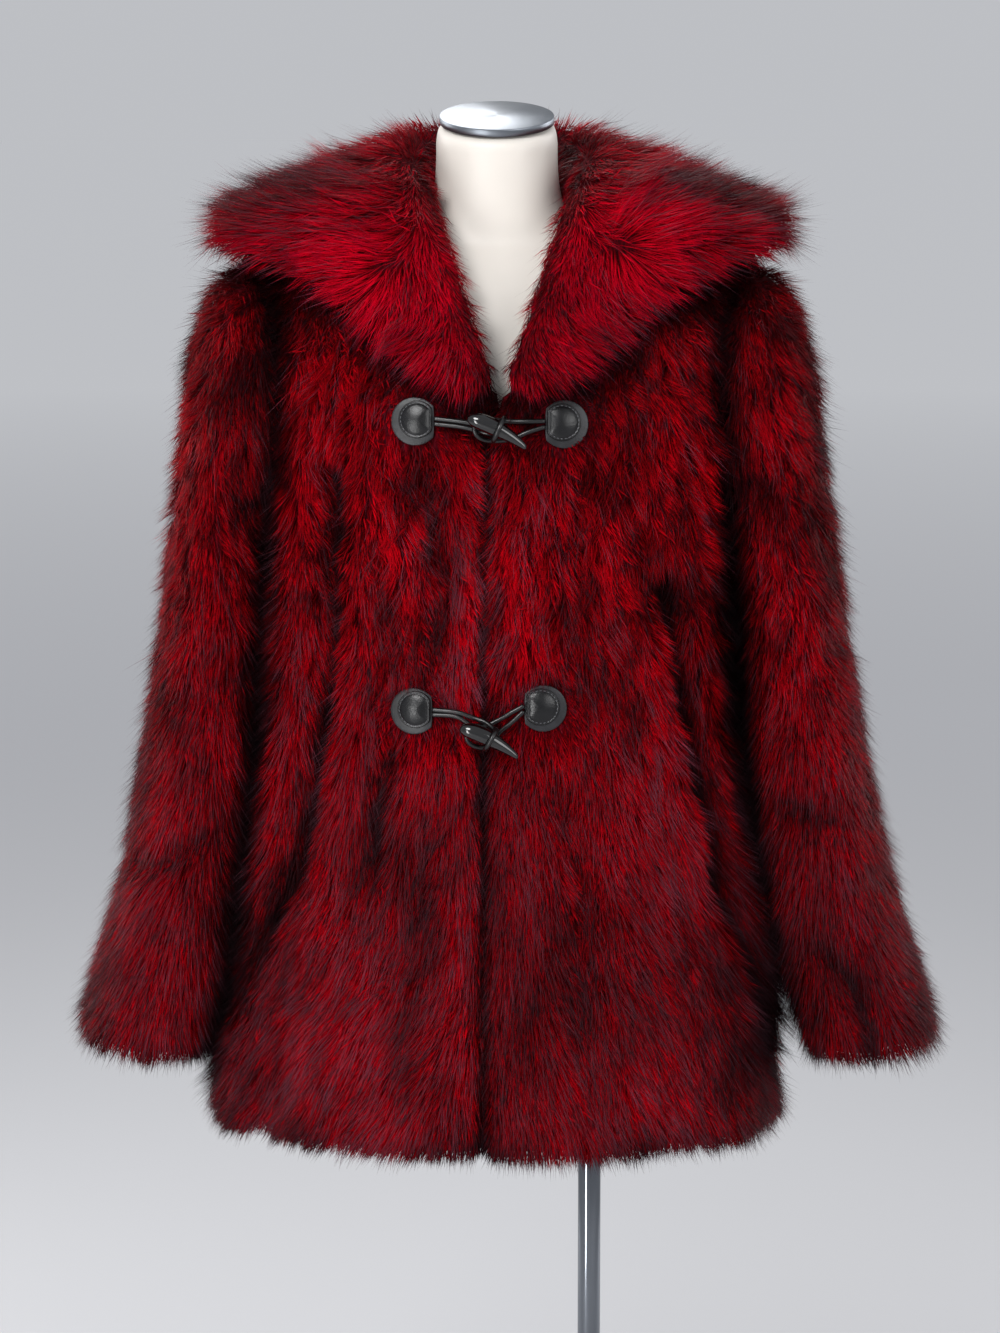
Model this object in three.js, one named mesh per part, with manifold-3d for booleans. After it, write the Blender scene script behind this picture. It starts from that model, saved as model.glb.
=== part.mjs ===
// A hip-length faux fur jacket with a wide sailor collar and two horn toggles, worn by a limbless dress form
// on a chrome pole and a round base. Millimetres, +Z up. The origin is the middle of the base plate's
// underside, on the floor. The front faces -Y, and +X is the wearer's left.
// Each cloth solid is the knitted backing with the dense underfur on it. The long guard hairs stand proud of it.
import * as THREE from "three";
import Module from "manifold-3d";

const wasm = await Module();
wasm.setup();
const { Manifold, Mesh } = wasm;

// ---------------------------------------------------------------- driving dimensions
const GAP = 0.3; // between pieces that meet at a seam
const SEAT = 0.4; // between a piece and the surface it rests on
const FUR_WALL = 10; // backing and packed underfur
const COLLAR_WALL = 16; // two thicknesses of fur cloth, back to back
const LAP = 25; // how far the wearer's left front passes over the right one
const FRONT_EDGE_X = -12; // the visible front edge, a little to the wearer's right
const V_START_Z = 1185; // where the fronts begin to part into the V neck
const NECKLINE_Z = 1332;
const NECK_V_X = 58; // half the V neck's width at the neckline
const SQUARENESS = 2.25; // superellipse power of the body's sections

const CAP_RADIUS = 46;
const CAP_THICK = 6.5;
const CAP_TILT = THREE.MathUtils.degToRad(13.5); // the neck cap leans forward
const NECK_X = -2.5; // the neck stands a little to the wearer's right
const NECK_TOP = { y: -7, z: 1415 };

const POLE = { x: 75, y: 10, radius: 9.5 };
const BASE = { radius: 170, thick: 8, chamfer: 1.5 };
const BOSS = { radius: 18, height: 22, chamfer: 1.5 };
const FLANGE = { radius: 30, thick: 5 };
const FORM_BOTTOM_Z = 690;

// The body's outer surface, a row for each section from hem to neckline.
const BODY = [
  { z: 603, wide: 234, front: 151, back: 151 },
  { z: 700, wide: 220, front: 146, back: 146 },
  { z: 820, wide: 203, front: 139, back: 139 },
  { z: 940, wide: 190, front: 132, back: 130 },
  { z: 1030, wide: 185, front: 129, back: 124 },
  { z: 1105, wide: 187, front: 132, back: 121 },
  { z: 1165, wide: 191, front: 134, back: 119 },
  { z: 1200, wide: 194, front: 130, back: 116 },
  { z: 1240, wide: 197, front: 117, back: 110 },
  { z: 1272, wide: 198, front: 100, back: 101 },
  { z: 1293, wide: 192, front: 85, back: 92 },
  { z: 1307, wide: 172, front: 74, back: 83 },
  { z: 1318, wide: 142, front: 66, back: 75 },
  { z: 1326, wide: 106, front: 60, back: 68 },
  { z: NECKLINE_Z, wide: 70, front: 54, back: 61 },
];

// Flares of the hanging body. at is the angle round the body (0 = wearer's left side, 90 = back, 270 = front),
// half its half width in degrees, deep how far it goes in (negative: a ridge) from full down to the hem.
const FLARES = [
  { at: 217, half: 12, top: 1190, full: 1040, deep: 13 },
  { at: 200, half: 11, top: 1120, full: 960, deep: -5 },
  { at: 243, half: 13, top: 1060, full: 740, deep: 7 },
  { at: 341, half: 12, top: 1200, full: 1030, deep: 12 },
  { at: 322, half: 12, top: 1080, full: 820, deep: -5 },
  { at: 302, half: 12, top: 980, full: 720, deep: 6 },
  { at: 28, half: 13, top: 1110, full: 900, deep: 12 },
  { at: 56, half: 14, top: 1060, full: 820, deep: -7 },
  { at: 87, half: 15, top: 1150, full: 860, deep: 9 },
  { at: 118, half: 14, top: 1040, full: 800, deep: -6 },
  { at: 149, half: 13, top: 1130, full: 920, deep: 13 },
];

// The wearer's left sleeve, a row for each section: its outermost and innermost points in the XZ plane,
// half its depth along Y, and the middle of that depth.
const SLEEVE = [
  { outX: 178, outZ: 1301, inX: 176, inZ: 1104, deep: 76, y: 3 },
  { outX: 204, outZ: 1302, inX: 189, inZ: 1098, deep: 79, y: 3 },
  { outX: 224, outZ: 1289, inX: 191, inZ: 1094, deep: 80, y: 3 },
  { outX: 238, outZ: 1260, inX: 192, inZ: 1090, deep: 79, y: 2 },
  { outX: 247, outZ: 1218, inX: 193, inZ: 1084, deep: 77, y: 1 },
  { outX: 255, outZ: 1160, inX: 193.5, inZ: 1072, deep: 75, y: 0 },
  { outX: 263, outZ: 1088, inX: 194, inZ: 1040, deep: 72, y: -3 },
  { outX: 273, outZ: 1006, inX: 196, inZ: 978, deep: 69, y: -8 },
  { outX: 286, outZ: 920, inX: 203, inZ: 897, deep: 66, y: -13 },
  { outX: 303, outZ: 830, inX: 214, inZ: 808, deep: 64, y: -17 },
  { outX: 323, outZ: 748, inX: 229, inZ: 727, deep: 63, y: -20 },
  { outX: 343, outZ: 676, inX: 247, inZ: 656, deep: 64, y: -22 },
];
const SLEEVE_SPREAD = { left: 13, right: 0 }; // how much further out each cuff hangs
const SLEEVE_CREASES = [ // soft rings in the hanging sleeve: row they sit at, half width in rows, depth
  { at: 5.2, half: 0.8, deep: 3 },
  { at: 7.4, half: 0.9, deep: 4 },
  { at: 9.2, half: 0.8, deep: 3 },
];

// The collar's middle surface on the wearer's left, a row for each station from the lapel's tip to the middle
// of the back, with its points [x, y, z] on the neck seam, roll line, crown, fall and outer edge.
const COLLAR = [
  { seam: [2, -138, 1216], roll: [7, -141, 1216], crown: [12, -142, 1214], fall: [18, -141, 1211], edge: [26, -137, 1206] },
  { seam: [16, -124, 1247], roll: [25, -130, 1250], crown: [37, -131, 1249], fall: [52, -129, 1245], edge: [70, -123, 1240] },
  { seam: [34, -95, 1290], roll: [43, -104, 1300], crown: [64, -106, 1300], fall: [92, -100, 1295], edge: [126, -89, 1287] },
  { seam: [55, -58, 1327], roll: [57, -78, 1349], crown: [96, -84, 1345], fall: [148, -76, 1337], edge: [210, -63, 1322] },
  { seam: [69, -16, 1333], roll: [66, -26, 1386], crown: [101, -18, 1373], fall: [154, -8, 1357], edge: [218, 4, 1334] },
  { seam: [64, 36, 1333], roll: [62, 36, 1397], crown: [98, 48, 1385], fall: [153, 60, 1361], edge: [216, 66, 1330] },
  { seam: [43, 60, 1333], roll: [45, 68, 1402], crown: [78, 98, 1383], fall: [126, 122, 1330], edge: [203, 114, 1262] },
  { seam: [22, 67, 1333], roll: [23, 78, 1404], crown: [36, 113, 1379], fall: [66, 133, 1298], edge: [174, 121, 1168] },
  { seam: [0, 69, 1333], roll: [0, 80, 1404], crown: [0, 117, 1377], fall: [0, 133, 1290], edge: [0, 136, 1156] },
];
const COLLAR_LINES = ["seam", "roll", "crown", "fall", "edge"];

// The dress form's own sections below the chest, and its neck. y is the section's middle, tilt leans it forward.
const FORM_TRUNK = [
  { z: FORM_BOTTOM_Z, wide: 146, front: 96, back: 106 },
  { z: 700, wide: 152, front: 102, back: 112 },
  { z: 760, wide: 158, front: 106, back: 116 },
  { z: 850, wide: 140, front: 94, back: 98 },
  { z: 950, wide: 112, front: 84, back: 80 },
  { z: 1050, wide: 130, front: 98, back: 88 },
  { z: 1130, wide: 148, front: 106, back: 96 },
  { z: 1200, wide: 164, front: 102, back: 96 },
];
const FORM_SHOULDER_ROWS = [9, 10, 11, 12, 13, 14]; // rows of BODY that the form fills from inside
const FORM_INSET = 0.9; // under the cloth on the shoulders, between facets that do not line up
const FORM_NECK = [
  { z: 1342, radius: 51, y: 3, tilt: 0.15 },
  { z: 1366, radius: 49.5, y: -1, tilt: 0.5 },
  { z: 1397, radius: 49.5, y: -5, tilt: 1 },
  { z: 1409, radius: 48, y: -6.5, tilt: 1 },
  { z: NECK_TOP.z, radius: 45, y: NECK_TOP.y, tilt: 1 },
];

// Leather patches: the middle of each in x and z on the front, and which way its cords leave.
const PATCH = { radius: 18.8, thick: 3, edgeAt: 15, seat: 0.65 };
const PATCH_TOP = { radius: 15.3, thick: 4.6, rise: PATCH.thick + GAP };
const PATCHES = [
  { name: "upper_right", x: -66, z: 1187, cordsTo: 1 },
  { name: "upper_left", x: 50, z: 1185, cordsTo: -1 },
  { name: "lower_right", x: -68, z: 958, cordsTo: 1 },
  { name: "lower_left", x: 34, z: 961, cordsTo: -1 },
];
const CORD_RADIUS = 1.6;
const CORD_SIDES = 6;
const CORD_START = 1; // from a patch's straight side to the middle of a cord's end
const TOGGLES = [
  { name: "upper", x: -1, z: 1181, turn: -28 },
  { name: "lower", x: -7, z: 939, turn: -28 },
];
const HORN = { half: 25, radius: 6.8, out: 21, bow: 2.5 };

// ---------------------------------------------------------------- small tools
const { lerp, smoothstep, degToRad } = THREE.MathUtils;
const power = (value, exponent) => Math.sign(value) * Math.abs(value) ** exponent;
const hump = (distance) => (Math.abs(distance) < 1 ? 0.5 + 0.5 * Math.cos(Math.PI * distance) : 0);

// A table's named columns at a fractional row, on a smooth curve through the rows.
function rowAt(table, at) {
  const last = table.length - 1;
  const i = Math.min(Math.max(Math.floor(at), 0), last - 1);
  const t = at - i;
  const [a, b, c, d] = [i - 1, i, i + 1, i + 2].map((k) => table[Math.min(Math.max(k, 0), last)]);
  const row = {};
  for (const column of Object.keys(b)) {
    const out = 0.5 * (c[column] - a[column]);
    const into = 0.5 * (d[column] - b[column]);
    const step = b[column] - c[column];
    row[column] = b[column] + out * t + (-3 * step - 2 * out - into) * t * t + (2 * step + out + into) * t ** 3;
  }
  return row;
}

// A point moved out along its surface's normal. surface(u, v) gives a point; facing is 1 or -1.
function moved(surface, u, v, out, facing = 1) {
  const step = 1e-3;
  const point = surface(u, v);
  const along = surface(u + step, v).sub(surface(u - step, v));
  const across = surface(u, v + step).sub(surface(u, v - step));
  return point.addScaledVector(along.cross(across).normalize(), out * facing);
}

// A closed solid from a grid of points and a second grid behind it. round joins the first column to the last.
function between(front, behind, round) {
  const rows = front.length;
  const columns = front[0].length;
  const points = [...front.flat(), ...behind.flat()];
  const at = (side, r, c) => side * rows * columns + r * columns + (c % columns);
  const triangles = [];
  const face = (a, b, c, d) => triangles.push(a, b, c, a, c, d);
  for (let r = 0; r < rows - 1; r++)
    for (let c = 0; c < (round ? columns : columns - 1); c++) {
      face(at(0, r, c), at(0, r, c + 1), at(0, r + 1, c + 1), at(0, r + 1, c));
      face(at(1, r, c), at(1, r + 1, c), at(1, r + 1, c + 1), at(1, r, c + 1));
    }
  for (let c = 0; c < (round ? columns : columns - 1); c++) {
    face(at(0, 0, c), at(1, 0, c), at(1, 0, c + 1), at(0, 0, c + 1));
    face(at(0, rows - 1, c), at(0, rows - 1, c + 1), at(1, rows - 1, c + 1), at(1, rows - 1, c));
  }
  if (!round)
    for (let r = 0; r < rows - 1; r++) {
      face(at(0, r, 0), at(0, r + 1, 0), at(1, r + 1, 0), at(1, r, 0));
      face(at(0, r, columns - 1), at(1, r, columns - 1), at(1, r + 1, columns - 1), at(0, r + 1, columns - 1));
    }
  return solid(points, triangles);
}

// A closed solid from rings of points, capped at both ends.
function loft(rings) {
  const count = rings[0].length;
  const points = rings.flat();
  const triangles = [];
  for (let r = 0; r < rings.length - 1; r++)
    for (let c = 0; c < count; c++) {
      const [a, b] = [r * count + c, r * count + ((c + 1) % count)];
      triangles.push(a, b, b + count, a, b + count, a + count);
    }
  for (const [ring, first] of [[rings[0], 0], [rings.at(-1), (rings.length - 1) * count]]) {
    const middle = ring.reduce((sum, p) => sum.add(p), new THREE.Vector3()).divideScalar(count);
    points.push(middle);
    for (let c = 0; c < count; c++) {
      const pair = [first + c, first + ((c + 1) % count)];
      triangles.push(points.length - 1, ...(first ? pair : pair.reverse()));
    }
  }
  return solid(points, triangles);
}

// Points and triangles as a Manifold with its faces pointing out.
function solid(points, triangles) {
  const vertProperties = new Float32Array(points.flatMap((p) => [p.x, p.y, p.z]));
  const made = new Manifold(new Mesh({ numProp: 3, vertProperties, triVerts: new Uint32Array(triangles) }));
  return made.volume() > 0 ? made : solid(points, [...triangles].reverse());
}

// A Manifold as a three.js geometry.
function geometryOf(made) {
  const mesh = made.getMesh();
  return new THREE.BufferGeometry()
    .setAttribute("position", new THREE.BufferAttribute(mesh.vertProperties, 3))
    .setIndex(new THREE.BufferAttribute(mesh.triVerts, 1));
}

// ---------------------------------------------------------------- the body's surface
const bodyRow = (v) => rowAt(BODY, v);

function flareAt(angle, z) {
  const degrees = (THREE.MathUtils.radToDeg(angle) + 360) % 360;
  return FLARES.reduce((sum, flare) => {
    const grown = 1 - smoothstep(z, flare.full, flare.top);
    return sum + flare.deep * grown * hump((degrees - flare.at) / flare.half);
  }, 0);
}

function bodySurface(angle, v) {
  const row = bodyRow(v);
  const flare = flareAt(angle, row.z);
  const depth = Math.sin(angle) > 0 ? row.back : row.front;
  return new THREE.Vector3(
    (row.wide - flare) * power(Math.cos(angle), 2 / SQUARENESS),
    (depth - flare) * power(Math.sin(angle), 2 / SQUARENESS),
    row.z,
  );
}
const bodyPoint = (angle, v, out) => moved(bodySurface, angle, v, out);

// The angles on the back and front halves where the surface has a given x, and the angle off the side seam
// for a given |y|.
const backAngle = (x, v) => Math.acos(power(x / bodyRow(v).wide, SQUARENESS / 2));
const frontAngle = (x, v) => 2 * Math.PI - backAngle(x, v);
const seamAngle = (y, v) => Math.asin((y / bodyRow(v).front) ** (SQUARENESS / 2));

// A panel of the body between two edges, each an angle for a row. lift moves it in or out, and swell
// makes it that much thicker on each side, to cut what must clear it.
function bodyPanel({ first, last, columns, lift = () => 0 }, swell = 0) {
  const grid = (depth) =>
    BODY.map((_, v) =>
      Array.from({ length: columns + 1 }, (_, c) => {
        const angle = lerp(first(v), last(v), c / columns);
        return bodyPoint(angle, v, lift(angle, v) - depth);
      }),
    );
  return between(grid(-swell), grid(FUR_WALL + swell), false);
}

// The body as one filled solid, to cut away what would run on into it.
function bodyCore() {
  const columns = 60;
  const ring = (v) => Array.from({ length: columns }, (_, c) => bodyPoint((2 * Math.PI * c) / columns, v, SEAT / 2));
  return loft(BODY.map((_, v) => ring(v)));
}

// How far the V neck has opened at a row: 0 at its foot, 1 at the neckline.
const vOpening = (v) => THREE.MathUtils.clamp((BODY[v].z - V_START_Z) / (NECKLINE_Z - V_START_Z), 0, 1);
const overEdgeX = (v) => lerp(FRONT_EDGE_X, NECK_V_X, vOpening(v));
const underEdgeX = (v) => lerp(FRONT_EDGE_X + LAP, -NECK_V_X, vOpening(v));

// The under front goes inwards below the lap, over this range of x, and comes back where the V neck opens.
function lapLift(angle, v) {
  const { x, z } = bodySurface(angle, v);
  return -(FUR_WALL + 2 * GAP) * smoothstep(x, FRONT_EDGE_X - 36, FRONT_EDGE_X - 9) * (1 - smoothstep(z, 1241, 1271));
}

const PANELS = {
  front_left: {
    first: (v) => frontAngle(overEdgeX(v), v),
    last: (v) => 2 * Math.PI - seamAngle(GAP / 2, v),
    columns: 14,
  },
  front_right: {
    first: (v) => Math.PI + seamAngle(GAP / 2, v),
    last: (v) => frontAngle(underEdgeX(v), v),
    columns: 15,
    lift: lapLift,
  },
  back_left: {
    first: (v) => seamAngle(GAP / 2, v),
    last: (v) => backAngle(GAP / 2, v),
    columns: 12,
  },
  back_right: {
    first: (v) => backAngle(-GAP / 2, v),
    last: (v) => Math.PI - seamAngle(GAP / 2, v),
    columns: 12,
  },
};

// What the sleeves and the collar must clear: the swollen panels and the space inside them.
function bodyCutter() {
  return Object.values(PANELS).reduce((whole, panel) => whole.add(bodyPanel(panel, SEAT)), bodyCore());
}

// ---------------------------------------------------------------- sleeves
const SLEEVE_COLUMNS = 18;

function sleeveSurface(side) {
  const spread = side > 0 ? SLEEVE_SPREAD.left : SLEEVE_SPREAD.right;
  return (angle, v) => {
    const row = rowAt(SLEEVE, v);
    const crease = SLEEVE_CREASES.reduce((sum, ring) => sum + ring.deep * hump((v - ring.at) / ring.half), 0);
    const outwards = spread * Math.max(0, v / (SLEEVE.length - 1)) ** 2;
    const across = (1 - crease / 60) * power(Math.cos(angle), 0.92);
    return new THREE.Vector3(
      side * ((row.outX + row.inX) / 2 + outwards + ((row.outX - row.inX) / 2) * across),
      row.y + (row.deep - crease) * power(Math.sin(angle), 0.92),
      (row.outZ + row.inZ) / 2 + ((row.outZ - row.inZ) / 2) * across,
    );
  };
}

function sleeveRings(side, out, rows) {
  const surface = sleeveSurface(side);
  return rows.map((v) =>
    Array.from({ length: SLEEVE_COLUMNS }, (_, c) =>
      moved(surface, (2 * Math.PI * (c + 0.5)) / SLEEVE_COLUMNS, v, out, -side),
    ),
  );
}

// The sleeve's hollow, run on into the body and out past the cuff.
function sleeveVoid(side) {
  const rings = sleeveRings(side, -FUR_WALL, SLEEVE.map((_, v) => v));
  const inwards = rings[0].map((p) => p.clone().add(new THREE.Vector3(-side * 60, 0, 0)));
  return loft([inwards, ...rings]);
}

function sleeve(side, body) {
  const rows = SLEEVE.map((_, v) => v);
  return between(sleeveRings(side, 0, rows), sleeveRings(side, -FUR_WALL, rows), true).subtract(body);
}

// A sleeve is cut in two. Its seams run along the outside and the inside of the arm, on a plane that
// follows the arm's slope to the front.
const SLEEVE_SEAM = { y: 3, z: 1190, slope: 0.0455 };

function sleeveHalves(side, body) {
  const whole = sleeve(side, body);
  const backwards = new THREE.Vector3(0, 1, -SLEEVE_SEAM.slope).normalize();
  const at = backwards.dot(new THREE.Vector3(0, SLEEVE_SEAM.y, SLEEVE_SEAM.z));
  return {
    front: whole.trimByPlane(backwards.clone().negate().toArray(), GAP / 2 - at),
    back: whole.trimByPlane(backwards.toArray(), at + GAP / 2),
  };
}

// ---------------------------------------------------------------- collar
const COLLAR_STEPS = 3; // columns between two stations
const COLLAR_ROWS = 6; // rows from the neck seam to the outer edge

function collarMiddle(u, t) {
  const mirror = u < 0 ? -1 : 1;
  const stations = COLLAR.map((station) => Object.fromEntries(
    COLLAR_LINES.flatMap((line) => station[line].map((value, axis) => [line + axis, value])),
  ));
  const last = stations.length - 1;
  const back = { ...stations[last - 1] };
  for (const line of COLLAR_LINES) back[line + 0] *= -1;
  const row = rowAt([...stations, back], last - Math.abs(u));
  const profile = COLLAR_LINES.map((line) => ({ x: row[line + 0], y: row[line + 1], z: row[line + 2] }));
  const point = rowAt(profile, t);
  return new THREE.Vector3(mirror * point.x, point.y, point.z);
}

function collar(body, sleeves) {
  const reach = COLLAR.length - 1;
  const count = 2 * reach * COLLAR_STEPS;
  const grid = (out) =>
    Array.from({ length: COLLAR_ROWS + 1 }, (_, r) =>
      Array.from({ length: count + 1 }, (_, c) =>
        moved(collarMiddle, -reach + c / COLLAR_STEPS, ((COLLAR_LINES.length - 1) * r) / COLLAR_ROWS, out),
      ),
    );
  const whole = between(grid(COLLAR_WALL / 2), grid(-COLLAR_WALL / 2), false);
  return sleeves.reduce((rest, one) => rest.subtract(one), whole.subtract(body));
}

// ---------------------------------------------------------------- dress form and its stand
function formSolid() {
  const columns = 32;
  const angles = Array.from({ length: columns }, (_, c) => (2 * Math.PI * (c + 0.5)) / columns);
  const trunk = FORM_TRUNK.map((row) =>
    angles.map((angle) => {
      const depth = Math.sin(angle) > 0 ? row.back : row.front;
      return new THREE.Vector3(row.wide * Math.cos(angle), depth * Math.sin(angle), row.z);
    }),
  );
  const inset = (v) => -FUR_WALL - (v < BODY.length - 1 ? FORM_INSET : 2.5);
  const shoulders = FORM_SHOULDER_ROWS.map((v) => angles.map((angle) => bodyPoint(angle, v, inset(v))));
  const neck = FORM_NECK.map((row) =>
    angles.map((angle) => {
      const forward = row.radius * Math.sin(angle);
      const lean = Math.tan(CAP_TILT) * row.tilt * forward;
      return new THREE.Vector3(NECK_X + row.radius * Math.cos(angle), row.y + forward, row.z + lean);
    }),
  );
  return loft([...trunk, ...shoulders, ...neck]);
}

// A turned piece from [radius, height] pairs, standing on its first height.
function turned(profile, segments = 36) {
  const points = profile.map(([radius, height]) => new THREE.Vector2(radius, height));
  return new THREE.LatheGeometry(points, segments).rotateX(Math.PI / 2);
}

const neckCap = () =>
  turned([[0, 0], [CAP_RADIUS, 0], [CAP_RADIUS, CAP_THICK - 0.8], [CAP_RADIUS - 0.8, CAP_THICK], [0, CAP_THICK]]);

const basePlate = () =>
  turned(
    [[0, 0], [BASE.radius, 0], [BASE.radius, BASE.thick - BASE.chamfer], [BASE.radius - BASE.chamfer, BASE.thick], [0, BASE.thick]],
    48,
  );

// The ring that clamps the pole to the base, with the pole standing in it.
const baseBoss = () => {
  const bore = POLE.radius + GAP;
  return turned([
    [bore, 0], [BOSS.radius, 0], [BOSS.radius, BOSS.height - BOSS.chamfer],
    [BOSS.radius - BOSS.chamfer, BOSS.height], [bore, BOSS.height], [bore, 0],
  ], 24);
};
const pole = () => {
  const height = FORM_BOTTOM_Z - FLANGE.thick - 2 * GAP - BASE.thick - GAP;
  return turned([[0, 0], [POLE.radius, 0], [POLE.radius, height], [0, height]], 24);
};
const flange = () =>
  turned([[0, 0], [FLANGE.radius - 1, 0], [FLANGE.radius, 1], [FLANGE.radius, FLANGE.thick], [0, FLANGE.thick]], 24);

// ---------------------------------------------------------------- fastenings
// A point over the fronts at a given x and z, moved straight out of the cloth from its flat facets.
function overFront(x, z, out) {
  const i = Math.max(BODY.findIndex((row) => row.z > z) - 1, 0);
  const t = (z - BODY[i].z) / (BODY[i + 1].z - BODY[i].z);
  const [below, above] = [i, i + 1].map((v) => bodySurface(frontAngle(x, v), v));
  const normal = bodyPoint(frontAngle(x, i + t), i + t, 1).sub(bodyPoint(frontAngle(x, i + t), i + t, 0));
  return below.lerp(above, t).addScaledVector(normal, out);
}

// A leather patch: a round with a straight side where its cords leave, bent to the front.
function patch(place, radius, thick, rise, dome) {
  const rings = 2;
  const segments = 18;
  const outline = (angle, share) => {
    const [a, b] = [Math.cos(angle) * radius * share, Math.sin(angle) * radius * share];
    const limit = PATCH.edgeAt * (place.cordsTo > 0 ? 1 : -1);
    const cut = place.cordsTo > 0 ? Math.min(a, limit * share) : Math.max(a, limit * share);
    return [place.x + cut, place.z + b];
  };
  const layer = (out) =>
    Array.from({ length: rings }, (_, r) => {
      const share = 1 - r / rings;
      return Array.from({ length: segments }, (_, c) => {
        const [x, z] = outline((2 * Math.PI * c) / segments, share);
        return overFront(x, z, rise + out(share));
      });
    });
  const under = layer(() => 0).reverse();
  const over = layer((share) => thick * (1 - dome * share ** 4));
  return loft([...under, ...over]);
}

// A cord along points [x, z, out], each over the front's surface.
function cord(route) {
  const path = new THREE.CatmullRomCurve3(route.map(([x, z, out]) => overFront(x, z, out)), false, "centripetal");
  const section = new THREE.Shape().absarc(0, 0, CORD_RADIUS, 0, 2 * Math.PI);
  return new THREE.ExtrudeGeometry(section, {
    steps: 3 * (route.length - 1),
    curveSegments: CORD_SIDES / 2,
    extrudePath: path,
  });
}

// A horn toggle: a tapered, slightly bowed horn with one blunt and one pointed end.
function horn(toggle) {
  const steps = 10;
  const sides = 10;
  const turn = degToRad(toggle.turn);
  const middle = overFront(toggle.x, toggle.z, HORN.out);
  const rings = Array.from({ length: steps + 1 }, (_, k) => {
    const t = -1 + (2 * k) / steps;
    const blunt = Math.sqrt(Math.max(0, 1 - ((t + 0.2) / 0.8) ** 6));
    const radius = HORN.radius * (t < -0.2 ? Math.max(blunt, 0.45) : lerp(1, 0.26, ((t + 0.2) / 1.2) ** 1.3));
    return Array.from({ length: sides }, (_, c) => {
      const around = (2 * Math.PI * c) / sides;
      const across = radius * Math.cos(around) - HORN.bow * t * t;
      const along = HORN.half * t * Math.cos(turn) - across * Math.sin(turn);
      const up = HORN.half * t * Math.sin(turn) + across * Math.cos(turn);
      return middle.clone().add(new THREE.Vector3(along, -radius * Math.sin(around), up));
    });
  });
  return loft(rings);
}

// The routes below give x and z from the toggle's middle, and the height over the cloth.
const CORD_LOW = PATCH.thick + GAP + 2; // the middle of a cord as it leaves a patch
// Where a toggle hangs lower than its patches, the cords come down to it, and ease says by how much.
const easeOf = (drop) => Math.max(drop - 6, 0);

function toggleCord(toggle, from) {
  const start = from.x + from.cordsTo * (PATCH.edgeAt + CORD_START) - toggle.x;
  const drop = from.z - toggle.z;
  const ease = easeOf(drop);
  const turn = degToRad(toggle.turn);
  const reach = HORN.radius + CORD_RADIUS + 0.5;
  const roundHorn = [-30, 0, 45, 90, 135, 180, 230].map((degrees) => {
    const across = reach * Math.cos(degToRad(degrees));
    return [-across * Math.sin(turn), across * Math.cos(turn), HORN.out + reach * Math.sin(degToRad(degrees))];
  });
  return cord([
    [start, drop + 2.1, CORD_LOW],
    [start * 0.55, drop * 0.6 + 2 + 0.45 * ease, CORD_LOW + 1.5],
    [-12, 3 + 0.9 * ease, 7.6],
    [-5, 3.6 + 0.7 * ease, 9.5],
    ...roundHorn,
    [-6, -3.2 + 0.2 * ease, 9.4],
    [-11, -2.2 + 0.5 * ease, 7.6],
    [start * 0.55, drop * 0.6 - 1.8 + 0.45 * ease, CORD_LOW + 1.2],
    [start, drop - 1.8, CORD_LOW],
  ].map(([x, z, out]) => [toggle.x + x, toggle.z + z, out]));
}

function loopCord(toggle, from) {
  const start = from.x + from.cordsTo * (PATCH.edgeAt + CORD_START) - toggle.x;
  const drop = from.z - toggle.z;
  const ease = easeOf(drop);
  return cord([
    [start, drop + 2.4, CORD_LOW],
    [start * 0.62, drop * 0.5 + 4.2 + 0.25 * ease, CORD_LOW],
    [start * 0.3, 6.2 + 0.5 * ease, CORD_LOW - 1.4],
    [-4, 7.4 + 0.1 * ease, CORD_LOW - 1],
    [-12.5, 7.8 + 0.1 * ease, 10.2],
    [-18, 3.8 + 0.3 * ease, 11.9],
    [-18, -2.4, 11.6],
    [-12.5, -7, 9.5],
    [-4, -8.4, CORD_LOW - 1],
    [start * 0.3, -6.8 + 0.7 * ease, CORD_LOW - 1.4],
    [start * 0.62, drop * 0.5 - 4 + 0.25 * ease, CORD_LOW],
    [start, drop - 2, CORD_LOW],
  ].map(([x, z, out]) => [toggle.x + x, toggle.z + z, out]));
}

// ---------------------------------------------------------------- materials and assembly
const material = (color, roughness, metalness = 0) => new THREE.MeshStandardMaterial({ color, roughness, metalness });
const furCloth = material(0x9c0416, 0.9);
const leather = material(0x17171a, 0.45);
const cordBlack = material(0x0d0d0f, 0.4);
const hornGloss = material(0x09090b, 0.15);
const formShell = material(0xe9e3dc, 0.5);
const brushedSteel = material(0x8f949c, 0.3, 1);
const chrome = material(0xc8ccd2, 0.08, 1);

const jacket = new THREE.Group();

function add(name, geometry, finish, at = [0, 0, 0], tilt = 0) {
  const mesh = new THREE.Mesh(geometry, finish);
  mesh.name = name;
  mesh.position.set(...at);
  mesh.rotation.x = tilt;
  jacket.add(mesh);
  return mesh;
}

const cutBody = bodyCutter();
const voids = [sleeveVoid(1), sleeveVoid(-1)];
for (const [name, panel] of Object.entries(PANELS)) {
  const openArmholes = voids.reduce((rest, hollow) => rest.subtract(hollow), bodyPanel(panel));
  add(name, geometryOf(openArmholes), furCloth);
}
for (const [name, side] of [["left", 1], ["right", -1]])
  for (const [half, made] of Object.entries(sleeveHalves(side, cutBody)))
    add(`sleeve_${name}_${half}`, geometryOf(made), furCloth);
const sleeveBlocks = [1, -1].map((side) => loft(sleeveRings(side, SEAT, SLEEVE.map((_, v) => v))));
add("collar", geometryOf(collar(cutBody, sleeveBlocks)), furCloth);

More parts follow.
